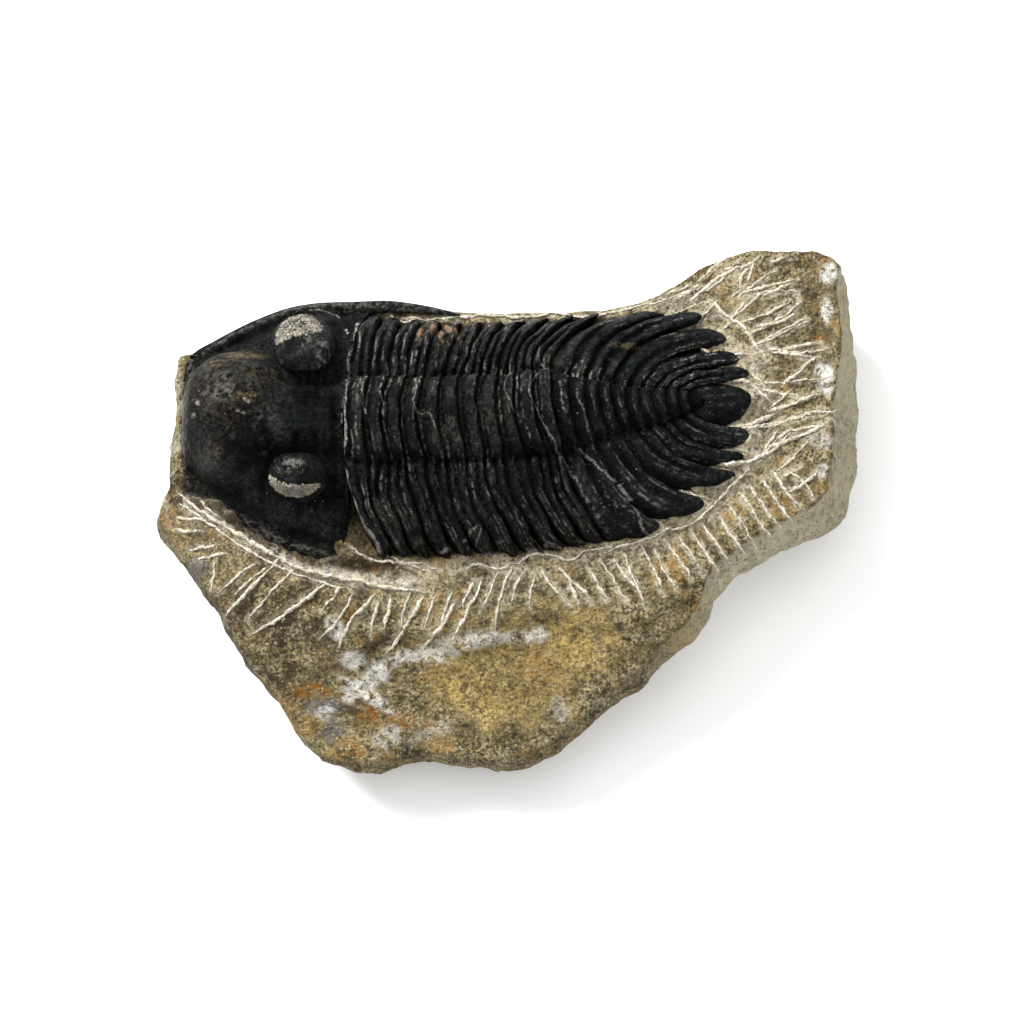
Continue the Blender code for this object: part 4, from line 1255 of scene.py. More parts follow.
@dataclass
class GenalSpine:
    """The spine that trails from the head's right rear corner."""

    path: Table = (
        (-20.5, 24.0, 23.2, 0.75), (-15.6, 24.25, 23.2, 0.75), (-12.5, 24.1, 23.1, 0.62),
        (-9.5, 23.75, 23.0, 0.45),
        (-6.4, 23.3, 22.8, 0.12),
    )
    sides: int = 28
    rings: int = 70

    def build(self, shell: Material) -> Object:
        """Builds the spine and gives it its shell."""
        line = through(self.path, np.linspace(0.0, len(self.path) - 1.0, self.rings))
        turn = 2.0 * np.pi * np.arange(self.sides) / self.sides
        rings = [
            np.column_stack([np.full(self.sides, x), y + w * np.cos(turn), z + 1.1 * w * np.sin(turn)])
            for x, y, z, w in line
        ]
        tip = line[-1, :3] + (0.12, 0.0, 0.0)
        rings = [np.tile(line[0, :3], (self.sides, 1)), *rings, np.tile(tip, (self.sides, 1))]
        points = np.vstack(rings)
        points[:, 2] += 0.06 * broken(points, 1.0, 3, 15)
        points[: self.sides] = line[0, :3]
        points[-self.sides :] = tip
        # crest lays an even painted highlight along the spine.
        levels = {"crest": 0.4, "ridge": 0.2, "furrow": 0.0, "stain": 0.0, "chalk": 0.0}
        masks = {key: np.full(len(points), level) for key, level in levels.items()}
        piece = mesh_object("genal_spine", points, grid_faces(len(rings), self.sides, wrap=True), masks)
        piece.data.materials.append(shell)
        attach(piece, "root")
        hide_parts("cephalon")
        return piece


class Side(Enum):
    """Which side of the animal, as the way outwards along Y."""

    RIGHT = 1.0
    LEFT = -1.0


def end_tree(n: Nodes, result: str, shape: Socket, material: Material) -> Tree:
    """Ends a geometry tree with real, smooth geometry that has its material."""
    real = n.add("GeometryNodeRealizeInstances", Geometry=shape)
    rounded = n.add("GeometryNodeSetShadeSmooth", Geometry=real.outputs[0])
    finish = n.add("GeometryNodeSetMaterial", Geometry=rounded.outputs[0], Material=material)
    n.add("NodeGroupOutput", **{result: finish.outputs[0]})
    return n.tree


def lens_tree(bead: Material) -> Tree:
    """Geometry nodes that set a bead on every point of a mesh."""
    inputs = {"Bead Radius": 0.0002, "Unevenness": 0.25, "Seed": 3}
    n, at = start_tree("lens_beads", "Geometry", "Points", inputs, {"Beads": "Geometry"})
    sphere = n.add("GeometryNodeMeshIcoSphere", Radius=at["Bead Radius"], Subdivisions=2)
    low = n.maths("SUBTRACT", 1.0, at["Unevenness"])
    high = n.maths("ADD", 1.0, at["Unevenness"])
    scale = n.add("FunctionNodeRandomValue", {"data_type": "FLOAT"}, Seed=at["Seed"])
    for key, socket in (("Min", low), ("Max", high)):
        for option in scale.inputs:
            if option.name == key and option.type == "VALUE" and option.enabled:
                n.fill(option, socket)
    value = [o for o in scale.outputs if o.enabled][0]
    spread = n.add(
        "GeometryNodeInstanceOnPoints", Points=at["Points"], Instance=sphere.outputs["Mesh"], Scale=value
    )
    return end_tree(n, "Beads", spread.outputs[0], bead)


def grown(name: str, seedbed: Object, tree: Tree, inputs: dict[str, float]) -> Object:
    """Runs a geometry tree once and keeps its plain mesh.

    Args:
        name: The new piece's name.
        seedbed: The object that the tree starts from; it is removed afterwards.
        tree: The tree.
        inputs: Values for the tree's named inputs.

    Returns:
        The piece, with no modifier left.
    """
    modifier = seedbed.modifiers.new("grow", "NODES")
    modifier.node_group = tree
    names = {
        item.name: item.identifier for item in tree.interface.items_tree
        if getattr(item, "in_out", "") == "INPUT"
    }
    for key, value in inputs.items():
        modifier[names[key]] = value
    bpy.context.view_layer.update()
    evaluated = seedbed.evaluated_get(bpy.context.evaluated_depsgraph_get())
    data = bpy.data.meshes.new_from_object(evaluated)
    seedbed.modifiers.clear()
    bpy.data.objects.remove(seedbed)
    data.name = name
    return placed(name, data)


@dataclass
class Eye:
    """A tall eye: a bean-shaped tower, dark on top, with a beady tan face that looks outwards."""

    side: Side
    rings: Table
    lens_levels: Pair
    turns: Pair = (12.0, 168.0)
    sides: int = 128
    levels: int = 84
    cap_rings: int = 22
    cap_rise: float = 0.28
    dent: float = 0.16
    lens_rows: int = 22
    lens_files: int = 40
    bead_radius: float = 0.145

    def ring(self, level: Array) -> Array:
        """The tower's rings, as (x, y, z, half length, half width), at each level from 0 at its foot."""
        return through(self.rings, level)

    def surface(self, level: Array, turn: Array) -> Array:
        """Places on the tower's wall."""
        r = self.ring(level)
        dent = 1.0 - self.dent * np.maximum(0.0, -np.sin(turn)) ** 4
        x = r[..., 0] + r[..., 3] * np.cos(turn)
        y = r[..., 1] + self.side.value * r[..., 4] * dent * np.sin(turn)
        return np.stack([x, y, r[..., 2]], -1)

    def build(self, shell: Material, bead: Material, beads: Tree) -> list[Object]:
        """Builds the tower and its lenses."""
        top = len(self.rings) - 1.0
        turn = 2.0 * np.pi * np.arange(self.sides) / self.sides
        level = np.linspace(0.0, top, self.levels)[:, None] + 0.0 * turn
        wall = self.surface(level, turn + 0.0 * level)
        middle = wall[-1].mean(axis=0)
        inwards = np.linspace(1.0, 0.0, self.cap_rings)[1:]
        cap = [middle + (wall[-1] - middle) * s + (0.0, 0.0, self.cap_rise * (1.0 - s * s)) for s in inwards]
        foot = wall[0].mean(axis=0) + 0.0 * wall[:1]
        grid = np.concatenate([foot, wall, np.array(cap)])
        points = grid.reshape(-1, 3)
        swell = np.repeat(np.concatenate([[0.0], smooth(np.arange(len(grid) - 1), 0, 8)]), self.sides)
        points[:, 2] += swell * (0.3 * broken(points, 1.9, 4, 17) + 0.06 * broken(points, 0.6, 2, 18, True))
        points[-self.sides :] = points[-self.sides :].mean(axis=0)
        high = smooth(points[:, 2], 31.0, 32.4)
        masks = {
            # crest lays the painted highlight in random patches over the tower.
            "crest": 0.15 + 0.5 * smooth(broken(points, 1.4, 4, 37), -0.2, 0.4),
            "ridge": self.pale_top(points, high),
            "furrow": 0.3 * smooth(broken(points, 2.0, 3, 36), 0.1, 0.6),
            "stain": 0.0 * high, "chalk": 0.0 * high,
        }
        name = self.side.name.lower()
        tower = mesh_object(f"{name}_eye", points, grid_faces(len(grid), self.sides, wrap=True), masks)
        tower.data.materials.append(shell)
        lenses = self.lenses(f"{name}_eye_lenses", bead, beads)
        for piece, slot in ((tower, SHELL_SLOT), (lenses, STONE_SLOT)):
            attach(piece, "root")
            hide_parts("cephalon")
        return [tower, lenses]

    def pale_top(self, points: Array, high: Array) -> Array:
        """Where the tower's top is made lighter, in the tint of the ridge lines: in patches on the right eye,
        in one patch on the left.
        """
        if self.side is Side.RIGHT:
            return 0.3 * high * smooth(broken(points, 1.3, 4, 25), -0.1, 0.5)
        reach = (
            np.hypot((points[:, 0] + 26.1) / 1.9, (points[:, 1] - 2.3) / 1.2)
            + 0.4 * broken(points, 1.0, 3, 25)
        )
        return 0.4 * high * (1.0 - smooth(reach, 0.5, 1.2))

    def lenses(self, name: str, bead: Material, beads: Tree) -> Object:
        """Builds the tan face: a bead at every lens, set on points over the tower's wall."""
        rng = np.random.default_rng(21)
        low, high = self.lens_levels
        places = []
        for i, j in itertools.product(range(self.lens_rows), range(self.lens_files)):
            share = (i + rng.uniform(-0.1, 1.1)) / self.lens_rows
            at = (j + rng.uniform(-0.1, 1.1)) / self.lens_files
            turn = np.radians(self.turns[0] + (self.turns[1] - self.turns[0]) * at)
            edge = 1.0 - abs(2.0 * at - 1.0) ** 2.4 + rng.uniform(-0.12, 0.12)
            if abs(2.0 * share - 1.0) < edge and rng.uniform() > 0.12:
                places.append(self.surface(np.array(low + (high - low) * share), np.array(turn)))
        data = bpy.data.meshes.new("lens_seedbed")
        data.from_pydata([Vector(p) * MM for p in places], [], [])
        inputs = {"Bead Radius": self.bead_radius * MM, "Unevenness": 0.5, "Seed": 4}
        return grown(name, placed("lens_seedbed", data), beads, inputs)


# The stone.


@dataclass
class StoneBlock:
    """The block of limestone: a broken top with a shallow pit, broken sides and a flat underside."""

    outline: Path = (
        (-41.0, 9.4), (-41.1, 4.4), (-41.3, 2.6), (-42.6, 0.2), (-43.0, -2.2), (-41.2, -4.4),
        (-39.6, -6.6), (-37.6, -9.6), (-35.3, -13.0), (-33.6, -16.0), (-32.4, -18.4), (-30.5, -20.7),
        (-28.4, -23.1), (-26.9, -25.4), (-25.3, -27.7), (-23.2, -29.9), (-19.4, -30.8), (-16.0, -31.0),
        (-12.8, -30.2), (-9.4, -29.8), (-5.6, -30.4), (-1.8, -31.0), (1.2, -30.4), (3.4, -29.5),
        (6.2, -27.7), (9.6, -25.4), (12.6, -23.0), (15.7, -20.9), (17.5, -18.8), (19.3, -17.3),
        (22.4, -14.8), (24.2, -12.6), (24.6, -10.6), (26.1, -8.7), (29.7, -6.2), (34.0, -4.0),
        (38.2, -2.0), (41.1, 0.6), (42.2, 4.9), (42.5, 9.1), (42.4, 12.1), (43.1, 16.2), (43.3, 19.3),
        (43.3, 22.6), (42.8, 26.0), (42.2, 28.4), (41.6, 30.4), (38.0, 31.3), (33.6, 31.5), (29.6, 31.4),
        (26.8, 30.9), (23.5, 29.7), (21.0, 28.0), (18.4, 26.4), (15.6, 25.2), (11.6, 24.3), (5.4, 24.0),
        (-2.0, 23.9), (-6.0, 24.0), (-9.0, 24.4), (-15.0, 24.7), (-22.0, 24.4), (-28.0, 22.0),
        (-33.6, 20.2), (-37.6, 18.8), (-40.6, 18.4), (-41.0, 15.6), (-40.6, 12.6),
    )
    size: Pair = (86.3, 62.7)
    centre: Pair = (0.15, 0.0)
    core: Pair = (-5.0, 9.0)
    core_reach: Pair = (24.0, 1.6)
    sides: int = 700
    top_rings: int = 84
    flank_rings: int = 34
    bed_z: float = 21.0
    ground_z: float = 22.2
    base_inset: float = 2.3
    lip: Path = (
        (-40.6, 1.6), (-38.4, -0.8), (-34.8, -2.6), (-30.4, -5.3), (-25.6, -7.7), (-20.8, -9.0),
        (-16.0, -9.9),
        (-12.0, -10.0), (-8.7, -9.4),
    )
    mounds: Table = (
        (-20.2, -5.0, 1.5, 3.4), (-18.9, -6.8, 1.5, 2.2), (-21.2, -7.2, 1.4, 1.2), (-35.4, -0.5, 1.3, 3.2),
        (-33.4, -1.7, 1.1, 2.2),
    )
    vein: Path = (
        (-19.5, -22.5), (-16.0, -19.6), (-13.0, -18.0), (-8.0, -17.6), (-4.0, -16.4), (0.5, -15.9),
        (3.5, -15.4),
    )
    calcite: Table = (
        (-25.6, -28.6, 1.6, 1.2, 0.7), (38.4, 23.7, 0.9, 2.0, 1.0), (38.2, 15.4, 1.3, 2.6, 1.0, 0.1),
        (38.8, 28.0, 1.2, 1.3, 1.0, -0.2), (-21.0, -15.2, 1.6, 1.0, 0.9, -0.7),
        (-18.9, -18.6, 1.8, 1.0, 0.9, 0.2),
        (-15.6, -19.6, 1.4, 1.4, 0.85), (-17.8, -22.2, 4.4, 0.8, 0.9, -0.55),
        (-9.6, -26.8, 3.2, 1.2, 0.35, 0.4),
        (-22.6, -24.6, 1.2, 0.8, 0.7, 0.3), (37.4, 7.8, 2.0, 1.6, 0.45), (-15.0, -27.4, 2.0, 1.2, 0.5, 0.2),
        (6.0, -24.0, 1.2, 2.0, 0.3, 0.2), (22.0, 30.0, 3.0, 0.8, 0.5, 0.3), (37.6, 3.8, 0.8, 1.2, 0.7),
        (-36.8, -12.6, 1.0, 2.0, 0.4, 0.5),
    )
    rust: Table = (
        (37.4, 19.6, 1.0, 0.8, 1.0), (-23.8, -21.9, 2.6, 1.1, 1.0), (-17.4, -24.8, 1.6, 1.2, 0.9),
        (-13.0, -25.4, 1.6, 1.2, 0.85), (-10.0, -26.2, 1.2, 1.0, 0.8), (-34.8, -3.6, 2.0, 1.0, 0.75),
        (28.4, 27.4, 2.0, 1.2, 0.6), (-19.5, -13.4, 1.4, 1.2, 0.6), (6.8, -8.6, 1.4, 1.2, 0.7),
        (-16.6, -7.8, 0.8, 0.8, 1.0), (38.8, 8.4, 0.8, 1.0, 0.7), (33.0, 5.2, 1.4, 1.0, 0.5),
        (41.6, 11.0, 0.5, 0.8, 0.9), (22.6, -14.0, 0.6, 3.0, 0.6), (37.0, 24.0, 1.0, 0.8, 0.4),
    )
    violet: Table = (
        (-22.8, -23.8, 2.4, 1.5, 0.9), (-21.4, -26.8, 1.9, 1.9, 0.9), (-37.6, -7.8, 1.6, 1.2, 0.9),
    )
    calm: tuple[float, ...] = (1.5, -19.0, 12.0, 7.0, 1.0, 0.2)
    not_calm: tuple[float, ...] = (-16.0, -17.0, 9.0, 6.0, 1.0, 0.4)
    # dim: a darker patch low on the left, partly dark specks and partly painted shadow.
    dim: tuple[float, ...] = (-30.0, -14.0, 11.0, 9.0, 1.0, 0.4)
    shell_line: Array = field(default_factory=lambda: PLAN.outline())
    marks: Array = field(default_factory=lambda: np.zeros((0, 4)))
    edge_round: tuple[float, ...] = (0.45, 0.16, 0.05)
    ragged: float = 0.56

    def ground(self, x: Array, y: Array) -> Array:
        """Height of the broken top before its roughness, which falls away towards -Y with a ledge."""
        fall = np.maximum(0.0, -9.0 - y)
        ledge = -15.5 + 0.12 * x + 1.5 * np.sin(0.35 * x)
        height = self.ground_z - 9.5 * (1.0 - np.exp(-((fall / 15.0) ** 1.6)))
        height = height - 0.9 * smooth(ledge - y, -0.6, 0.8)
        height = height + 2.6 * smooth(x, 20.0, 33.0) * smooth(y, 8.0, 28.0)
        height = height - 1.2 * smooth(x, 22.0, 42.0) * smooth(-y, -8.0, 6.0)
        return height - 0.8 * smooth(-x, 30.0, 42.0)

    def large_relief(self, points: Array) -> Array:
        """The stone's largest lumps, the same as in the solid block."""
        return 0.9 * np.array([noise.fractal(Vector(p) / 9.0, 1.0, 2.0, 3) for p in points])

    def gap_to_shell(self, xy: Array) -> Array:
        """How far each place lies outside the animal's outline; under it, the distance is negative."""
        reach, _ = distance_to_path(xy, self.shell_line, closed=True)
        return np.where(inside(xy, self.shell_line), -reach, reach)

    def top_height(self, xy: Array) -> tuple[Array, dict[str, Array]]:
        """Height of the stone's top, with everything that scraping and breakage did to it.

        Args:
            xy: Places as (x, y).

        Returns:
            The heights, and the masks that the stone's material reads.
        """
        x, y = xy.T
        flat = np.column_stack([xy, np.full(len(xy), self.ground_z)])
        gap = self.gap_to_shell(xy)
        lumps = self.large_relief(flat)
        open_ground = smooth(gap, 0.8, 3.2)
        base = self.ground(x, y)
        rough = lumps * open_ground + 0.34 * broken(flat, 2.6, 4, 3) + 0.2 * broken(flat, 1.1, 3, 4, True)
        rough = rough * (0.45 + 0.55 * open_ground)
        cloud = broken(flat, 2.6, 5, 41)
        plain = (
            patches(flat, [self.calm], self.ragged * cloud)
            * (1.0 - patches(flat, [self.not_calm], self.ragged * cloud))
        )
        rough = rough * (1.0 - 0.35 * plain)
        height = base + rough
        climb = 0.9 * smooth(broken(flat, 1.8, 3, 12), -0.1, 0.45) * bump(gap, -0.3, 0.8)
        near = (
            self.bed_z + (22.35 + 0.5 * smooth(x, 8.0, 20.0) - self.bed_z) * smooth(gap, -1.3, -0.1) + climb
        )
        height = near + (height - near) * smooth(gap, 0.1, 2.2)
        lip_reach, lip_at = distance_to_path(xy, np.array(self.lip))
        lip = bump(lip_reach, 0.0, 0.9) * smooth(lip_at, 0.0, 0.8) * (1.0 - smooth(lip_at, 6.8, 8.0))
        height = height + 0.75 * lip
        moat = bump(gap, 0.55, 0.6) * (x < -14.0) * (y < 4.0)
        height = height - 0.45 * moat
        lumpy = 1.0 + 0.35 * broken(flat, 1.0, 2, 13)
        for mx, my, size, rise in self.mounds:
            height = height + rise * bump(np.hypot(x - mx, y - my), 0.0, size) * lumpy
        return height, self.masks(flat, gap, lip, moat, plain, cloud)

    def masks(
        self, flat: Array, gap: Array, lip: Array, moat: Array, plain: Array, cloud: Array
    ) -> dict[str, Array]:
        """The stone's patches of colour, and the painted shade beside the shell.

        Args:
            flat: Places on the stone.
            gap: How far each lies outside the animal.
            lip: How much each is part of the raised lip.
            moat: How much each is part of the groove beside it.
            plain: How calm the grain is there.
            cloud: The noise that makes the patches ragged.

        Returns:
            The masks that the material reads.
        """
        x, y = flat[:, 0], flat[:, 1]
        reach, _ = distance_to_path(flat[:, :2], np.array(self.vein))
        calcite = 0.75 * (1.0 - smooth(reach / (0.9 + 0.9 * broken(flat, 2.0, 4, 43)), 0.4, 1.4))
        calcite = np.maximum(calcite, patches(flat, self.calcite, self.ragged * cloud))
        rust, violet = patches(flat, self.rust, self.ragged * cloud), patches(
            flat, self.violet, self.ragged * cloud
        )
        calm_right = smooth(x, 26.0, 34.0)
        scraped = bump(gap, 1.0, 1.8) * (0.1 + 0.8 * smooth(broken(flat, 1.6, 5, 47), -0.2, 0.3))
        scraped = scraped * (0.75 + 0.5 * calm_right) + 0.5 * (gap < 0.6) * smooth(x, 14.0, 22.0)
        calcite = np.maximum(calcite, 0.75 * lip * smooth(broken(flat, 0.9, 4, 50), -0.25, 0.3))
        calcite = np.maximum(
            calcite,
            0.6 * bump(gap, 0.5, 1.6) * smooth(x, 22.0, 27.0) * smooth(broken(flat, 1.3, 4, 52), 0.0, 0.35)
        )
        lip_chalk = 1.1 * lip * smooth(broken(flat, 0.9, 3, 48), -0.6, 0.2)
        chalk = unit(np.maximum(scraped * (1.0 - moat), lip_chalk))
        beside = np.full(len(flat), 9.0)
        for x0, y0, x1, y1 in self.marks:
            beside = np.minimum(beside, distance_to_path(flat[:, :2], np.array([[x0, y0], [x1, y1]]))[0])
        powder = 1.0 - smooth(beside + 0.3 * broken(flat, 0.8, 3, 49), 0.12, 0.6)
        chalk = np.maximum(chalk, 0.7 * (1.0 - 0.5 * smooth(-x, 8.0, 20.0)) * powder) * (1.0 - 0.85 * moat)
        # A darker patch low on the left: partly dark specks in the stone and partly painted shadow from the
        # tool marks.
        dim = patches(flat, [self.dim], 0.32 * cloud) * smooth(broken(flat, 1.5, 5, 51), -0.45, 0.2)
        # Painted shade on the stone just outside the shell's lower left edge, kept clear of chalk and
        # calcite.
        under = bump(gap, 0.5, 1.0) * (x < -13.0) * (y < 3.0) * (1.0 - 0.8 * lip)
        chalk, calcite = chalk * (1.0 - 0.8 * under), calcite * (1.0 - 0.6 * under)
        # Painted shade where the stone meets the shell's edge, and at the head's right rear corner.
        beneath = (
            0.7 * bump(gap, -0.4, 0.5) * (x < 12.0) + 1.4 * smooth(-x, 11.5, 14.5) * smooth(y, 19.0, 21.0)
        )
        # hollow is the painted shade: the dim patch, the shade beside and under the shell's edge, and the
        # groove beside it.
        hollow = unit(0.95 * dim + under + moat * 1.1 + beneath)
        return {
            "chalk": chalk, "calcite": calcite, "rust": rust, "violet": violet, "hollow": hollow,
            "face": 0.0 * x, "plain": 0.85 * plain,
        }

    def top_inset(self, direction: Array) -> Array:
        """How far the top edge lies inside the widest outline."""
        right, back = np.maximum(direction[:, 0], 0.0), np.maximum(direction[:, 1], 0.0)
        left = np.maximum(-direction[:, 0], 0.0)
        front = np.maximum(-direction[:, 1], 0.0)
        inset = 1.9 - 1.7 * back + 1.6 * right**3 * (1.0 - back) - 0.9 * left - 1.2 * front * (1.0 - right)
        return inset + 4.2 * back * smooth(right, 0.76, 0.86)

    def build(self, limestone: Material) -> Object:
        """Builds the block and gives it its stone."""
        turn = 2.0 * np.pi * np.arange(self.sides) / self.sides
        direction = np.stack([np.cos(turn), np.sin(turn)], -1)
        start = np.array(self.core) + np.cos(turn)[:, None] * np.array(self.core_reach)
        widest = ray_lengths(list(self.outline), start, direction)
        inset = self.top_inset(direction)
        ring_noise = np.column_stack([start + direction * widest[:, None], np.zeros(self.sides)])
        ragged = 0.4 * broken(ring_noise, 3.0, 4, 19) + 0.25 * broken(ring_noise, 1.0, 3, 20, True)
        rim = widest - inset + ragged * np.minimum(1.0, inset)
        shell_reach = ray_lengths([tuple(p) for p in self.shell_line], start, direction)
        hidden = np.minimum(shell_reach - 2.4, rim - 1.2)
        reaches = [
            0.5 * hidden,
            *(hidden + (rim - hidden) * share for share in np.linspace(0.0, 1.0, self.top_rings))
        ]
        rings = [start + direction * reach[:, None] for reach in reaches]
        tops, masks = [], []
        for xy in rings:
            z, mask = self.top_height(xy)
            tops.append(np.column_stack([xy, z]))
            masks.append(mask)
        tops[0][:, 2] = self.bed_z
        top_z = tops[-1][:, 2].copy()
        for k, drop in enumerate(self.edge_round, 1):
            tops[-k][:, 2] -= drop
        flank_masks = dict(masks[-1])
        for share in np.linspace(0.0, 1.0, self.flank_rings)[1:]:
            front = smooth(-direction[:, 1], 0.1, 0.8)
            tuck = smooth(share, 0.5 - 0.4 * front, 1.0) ** (1.5 - 0.4 * front)
            lean = (
                inset * (1.0 - smooth(share, 0.0, 0.55 - 0.3 * front))
                + (self.base_inset + 1.2 * front) * tuck
            )
            at = start + direction * (widest - lean)[:, None]
            z = (top_z - self.edge_round[0]) * (1.0 - share)
            spot = np.column_stack([at, z])
            push = (
                self.large_relief(spot) + 0.4 * broken(spot, 3.4, 4, 27, True)
                + 0.22 * broken(spot, 1.2, 3, 28)
            )
            fade = smooth(share, 0.0, 0.12) * (1.0 - smooth(share, 0.93, 1.0))
            edge = ragged * np.minimum(1.0, inset) * (1.0 - smooth(share, 0.0, 0.3))
            at = at + direction * (push * fade + edge)[:, None]
            tops.append(np.column_stack([at, z]))
            mask = {key: values * (1.0 - smooth(share, 0.05, 0.5)) for key, values in flank_masks.items()}
            mask["face"] = float(smooth(share, 0.0, 0.04)) * smooth(direction[:, 0], 0.3, 0.7)
            mask["calcite"] = 0.5 * smooth(broken(spot, 6.0, 4, 29), 0.45, 0.8)
            mask["rust"] = 0.6 * smooth(broken(spot, 5.0, 4, 30), 0.42, 0.7)
            masks.append(mask)
        tops.append(np.column_stack([start + direction * (0.5 * widest)[:, None], np.zeros(self.sides)]))
        masks.append(masks[-1])
        points = np.array(tops)
        half = np.array(self.size) / 2.0
        points[..., :2] = np.clip(points[..., :2] - self.centre, -half, half)
        points = points.reshape(-1, 3)
        points[:, 2] = np.maximum(points[:, 2], 0.0)
        both = {key: np.concatenate([m[key] for m in masks]) for key in masks[0]}
        piece = mesh_object("limestone_block", points, grid_faces(len(tops), self.sides, wrap=True), both)
        fill_holes(piece)
        piece.data.materials.append(limestone)
        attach(piece, "root")
        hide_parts("matrix_block")
        return piece


@dataclass
class ToolMarks:
    """Pale ridges left by the tool that freed the animal; ends and bends are in tenths of a millimetre."""

    stone: StoneBlock
    step: float = 0.2
    stroke_widths: Pair = (0.22, 0.38)
    strokes: Table = (
        (181, 252, 235, 271), (217, 251, 284, 292), (235, 263, 272, 292),
        (249, 273, 279, 300), (272, 270, 293, 295), (205, 261, 231, 273),
        (229, 278, 261, 300), (249, 252, 229, 230), (293, 295, 288, 270),
        (276, 283, 278, 265), (272, 250, 322, 282), (284, 257, 346, 271),
        (281, 252, 351, 257), (272, 230, 309, 262), (264, 225, 285, 246),
        (278, 220, 349, 251), (290, 207, 351, 245), (296, 215, 346, 230),
        (293, 190, 359, 225), (309, 196, 359, 220), (309, 190, 383, 187),
        (315, 184, 371, 176), (327, 187, 376, 195), (329, 145, 373, 180),
        (284, 145, 376, 152), (303, 140, 346, 132), (315, 120, 339, 140),
        (309, 114, 373, 137), (284, 90, 395, 115), (303, 95, 376, 117),
        (309, 70, 389, 105), (321, 82, 383, 96), (305, 58, 340, 90), (321, 39, 366, 87),
        (327, 33, 351, 46), (333, 14, 371, 40), (260, 90, 327, 102), (303, 58, 322, 90),
        (278, 297, 254, 285), (303, 300, 279, 285), (314, 293, 332, 299),
        (217, 273, 190, 261), (266, 252, 288, 270), (305, 252, 339, 265),
        (-405, -17, -364, -22), (-407, -32, -368, -35), (-389, -56, -356, -51),
        (-378, -69, -342, -62), (-356, -72, -361, -107), (-305, -72, -351, -110),
        (-276, -67, -344, -137), (-295, -80, -332, -112), (-259, -80, -317, -140),
        (-222, -97, -314, -155), (-205, -103, -229, -132), (-190, -112, -232, -162),
        (-163, -112, -210, -172), (-159, -120, -171, -160), (-146, -117, -154, -152),
        (-122, -110, -134, -147), (-107, -115, -151, -177), (-93, -115, -105, -152),
        (-73, -110, -88, -157), (-68, -122, -107, -172), (-46, -97, -61, -130),
        (-34, -92, -73, -167), (-15, -80, -39, -135), (0, -80, -20, -152),
        (10, -90, 0, -122), (29, -87, 20, -122), (34, -80, 76, -130), (54, -80, 98, -122),
        (66, -90, 81, -125), (93, -80, 115, -117), (107, -72, 139, -120),
        (122, -67, 156, -110), (134, -62, 161, -125), (156, -55, 183, -112),
        (171, -55, 200, -107), (185, -47, 217, -97), (200, -42, 232, -90),
        (217, -35, 249, -85), (229, -25, 264, -75), (249, -15, 281, -62),
        (261, -2, 295, -55), (276, 10, 312, -42), (288, 20, 325, -30),
        (303, 28, 339, -22), (315, 38, 351, -7), (334, 40, 366, 8),
    )
    ridges: tuple[tuple[float, Path], ...] = (
        (0.46, ((-407, 15), (-381, -7), (-346, -29), (-322, -44), (-301, -57), (-277, -70), (-259, -80),
            (-237, -86), (-216, -91), (-185, -97), (-161, -103), (-131, -107), (-100, -110))),
        (0.30, ((-401, -1), (-362, -27), (-326, -53), (-289, -75), (-259, -88), (-222, -100),
            (-192, -107))),
        (0.26, ((-195, -57), (-176, -70), (-156, -72), (-137, -73), (-112, -80), (-88, -92))),
        (0.24, ((-146, -67), (-129, -75), (-107, -76), (-81, -85))),
        (0.26, ((-73, -86), (-56, -81), (-39, -75), (-18, -81), (0, -76), (22, -67), (44, -63), (66, -71),
            (88, -61), (112, -56), (137, -55))),
        (0.26, ((107, -62), (137, -53), (166, -44), (190, -35), (217, -25), (235, -10), (251, 6), (268, 24),
            (285, 40), (307, 58))),
        (0.38, ((212, 45), (229, 50), (256, 46), (284, 50), (307, 63), (322, 80))),
        (0.12, ((234, 69), (249, 70), (267, 71))),
        (0.24, ((199, 15), (217, 8), (239, 3))),
        (0.40, ((259, 91), (284, 95), (305, 105), (332, 120))),
        (0.42, ((254, 151), (276, 150), (293, 144), (307, 131), (317, 125))),
        (0.30, ((217, 207), (227, 190), (249, 181), (278, 182), (307, 185))),
        (0.28, ((163, 220), (183, 226), (205, 237), (227, 247), (249, 252))),
        (0.34, ((245, 250), (256, 235), (268, 225), (281, 215), (298, 190), (312, 171))),
        (0.30, ((256, 215), (271, 225), (281, 237))),
        (0.24, ((185, 207), (203, 205), (220, 202))),
        (0.30, ((-137, 230), (-100, 228), (-63, 231), (-27, 233), (10, 231), (46, 235), (83, 231),
            (120, 236), (156, 245), (193, 252), (222, 265))),
        (0.22, ((-151, 237), (-143, 227), (-124, 225), (-100, 226))),
        (0.24, ((-375, 3), (-366, -10), (-349, -22))),
        (0.26, ((288, 162), (303, 147), (315, 132))),
    )

    @classmethod
    def segments(cls) -> Array:
        """Every mark as straight pieces, each (x, y, x, y)."""
        bends = [(*a, *b) for _, path in cls.ridges for a, b in zip(path, path[1:])]
        return np.array([*cls.strokes, *bends]) / 10.0

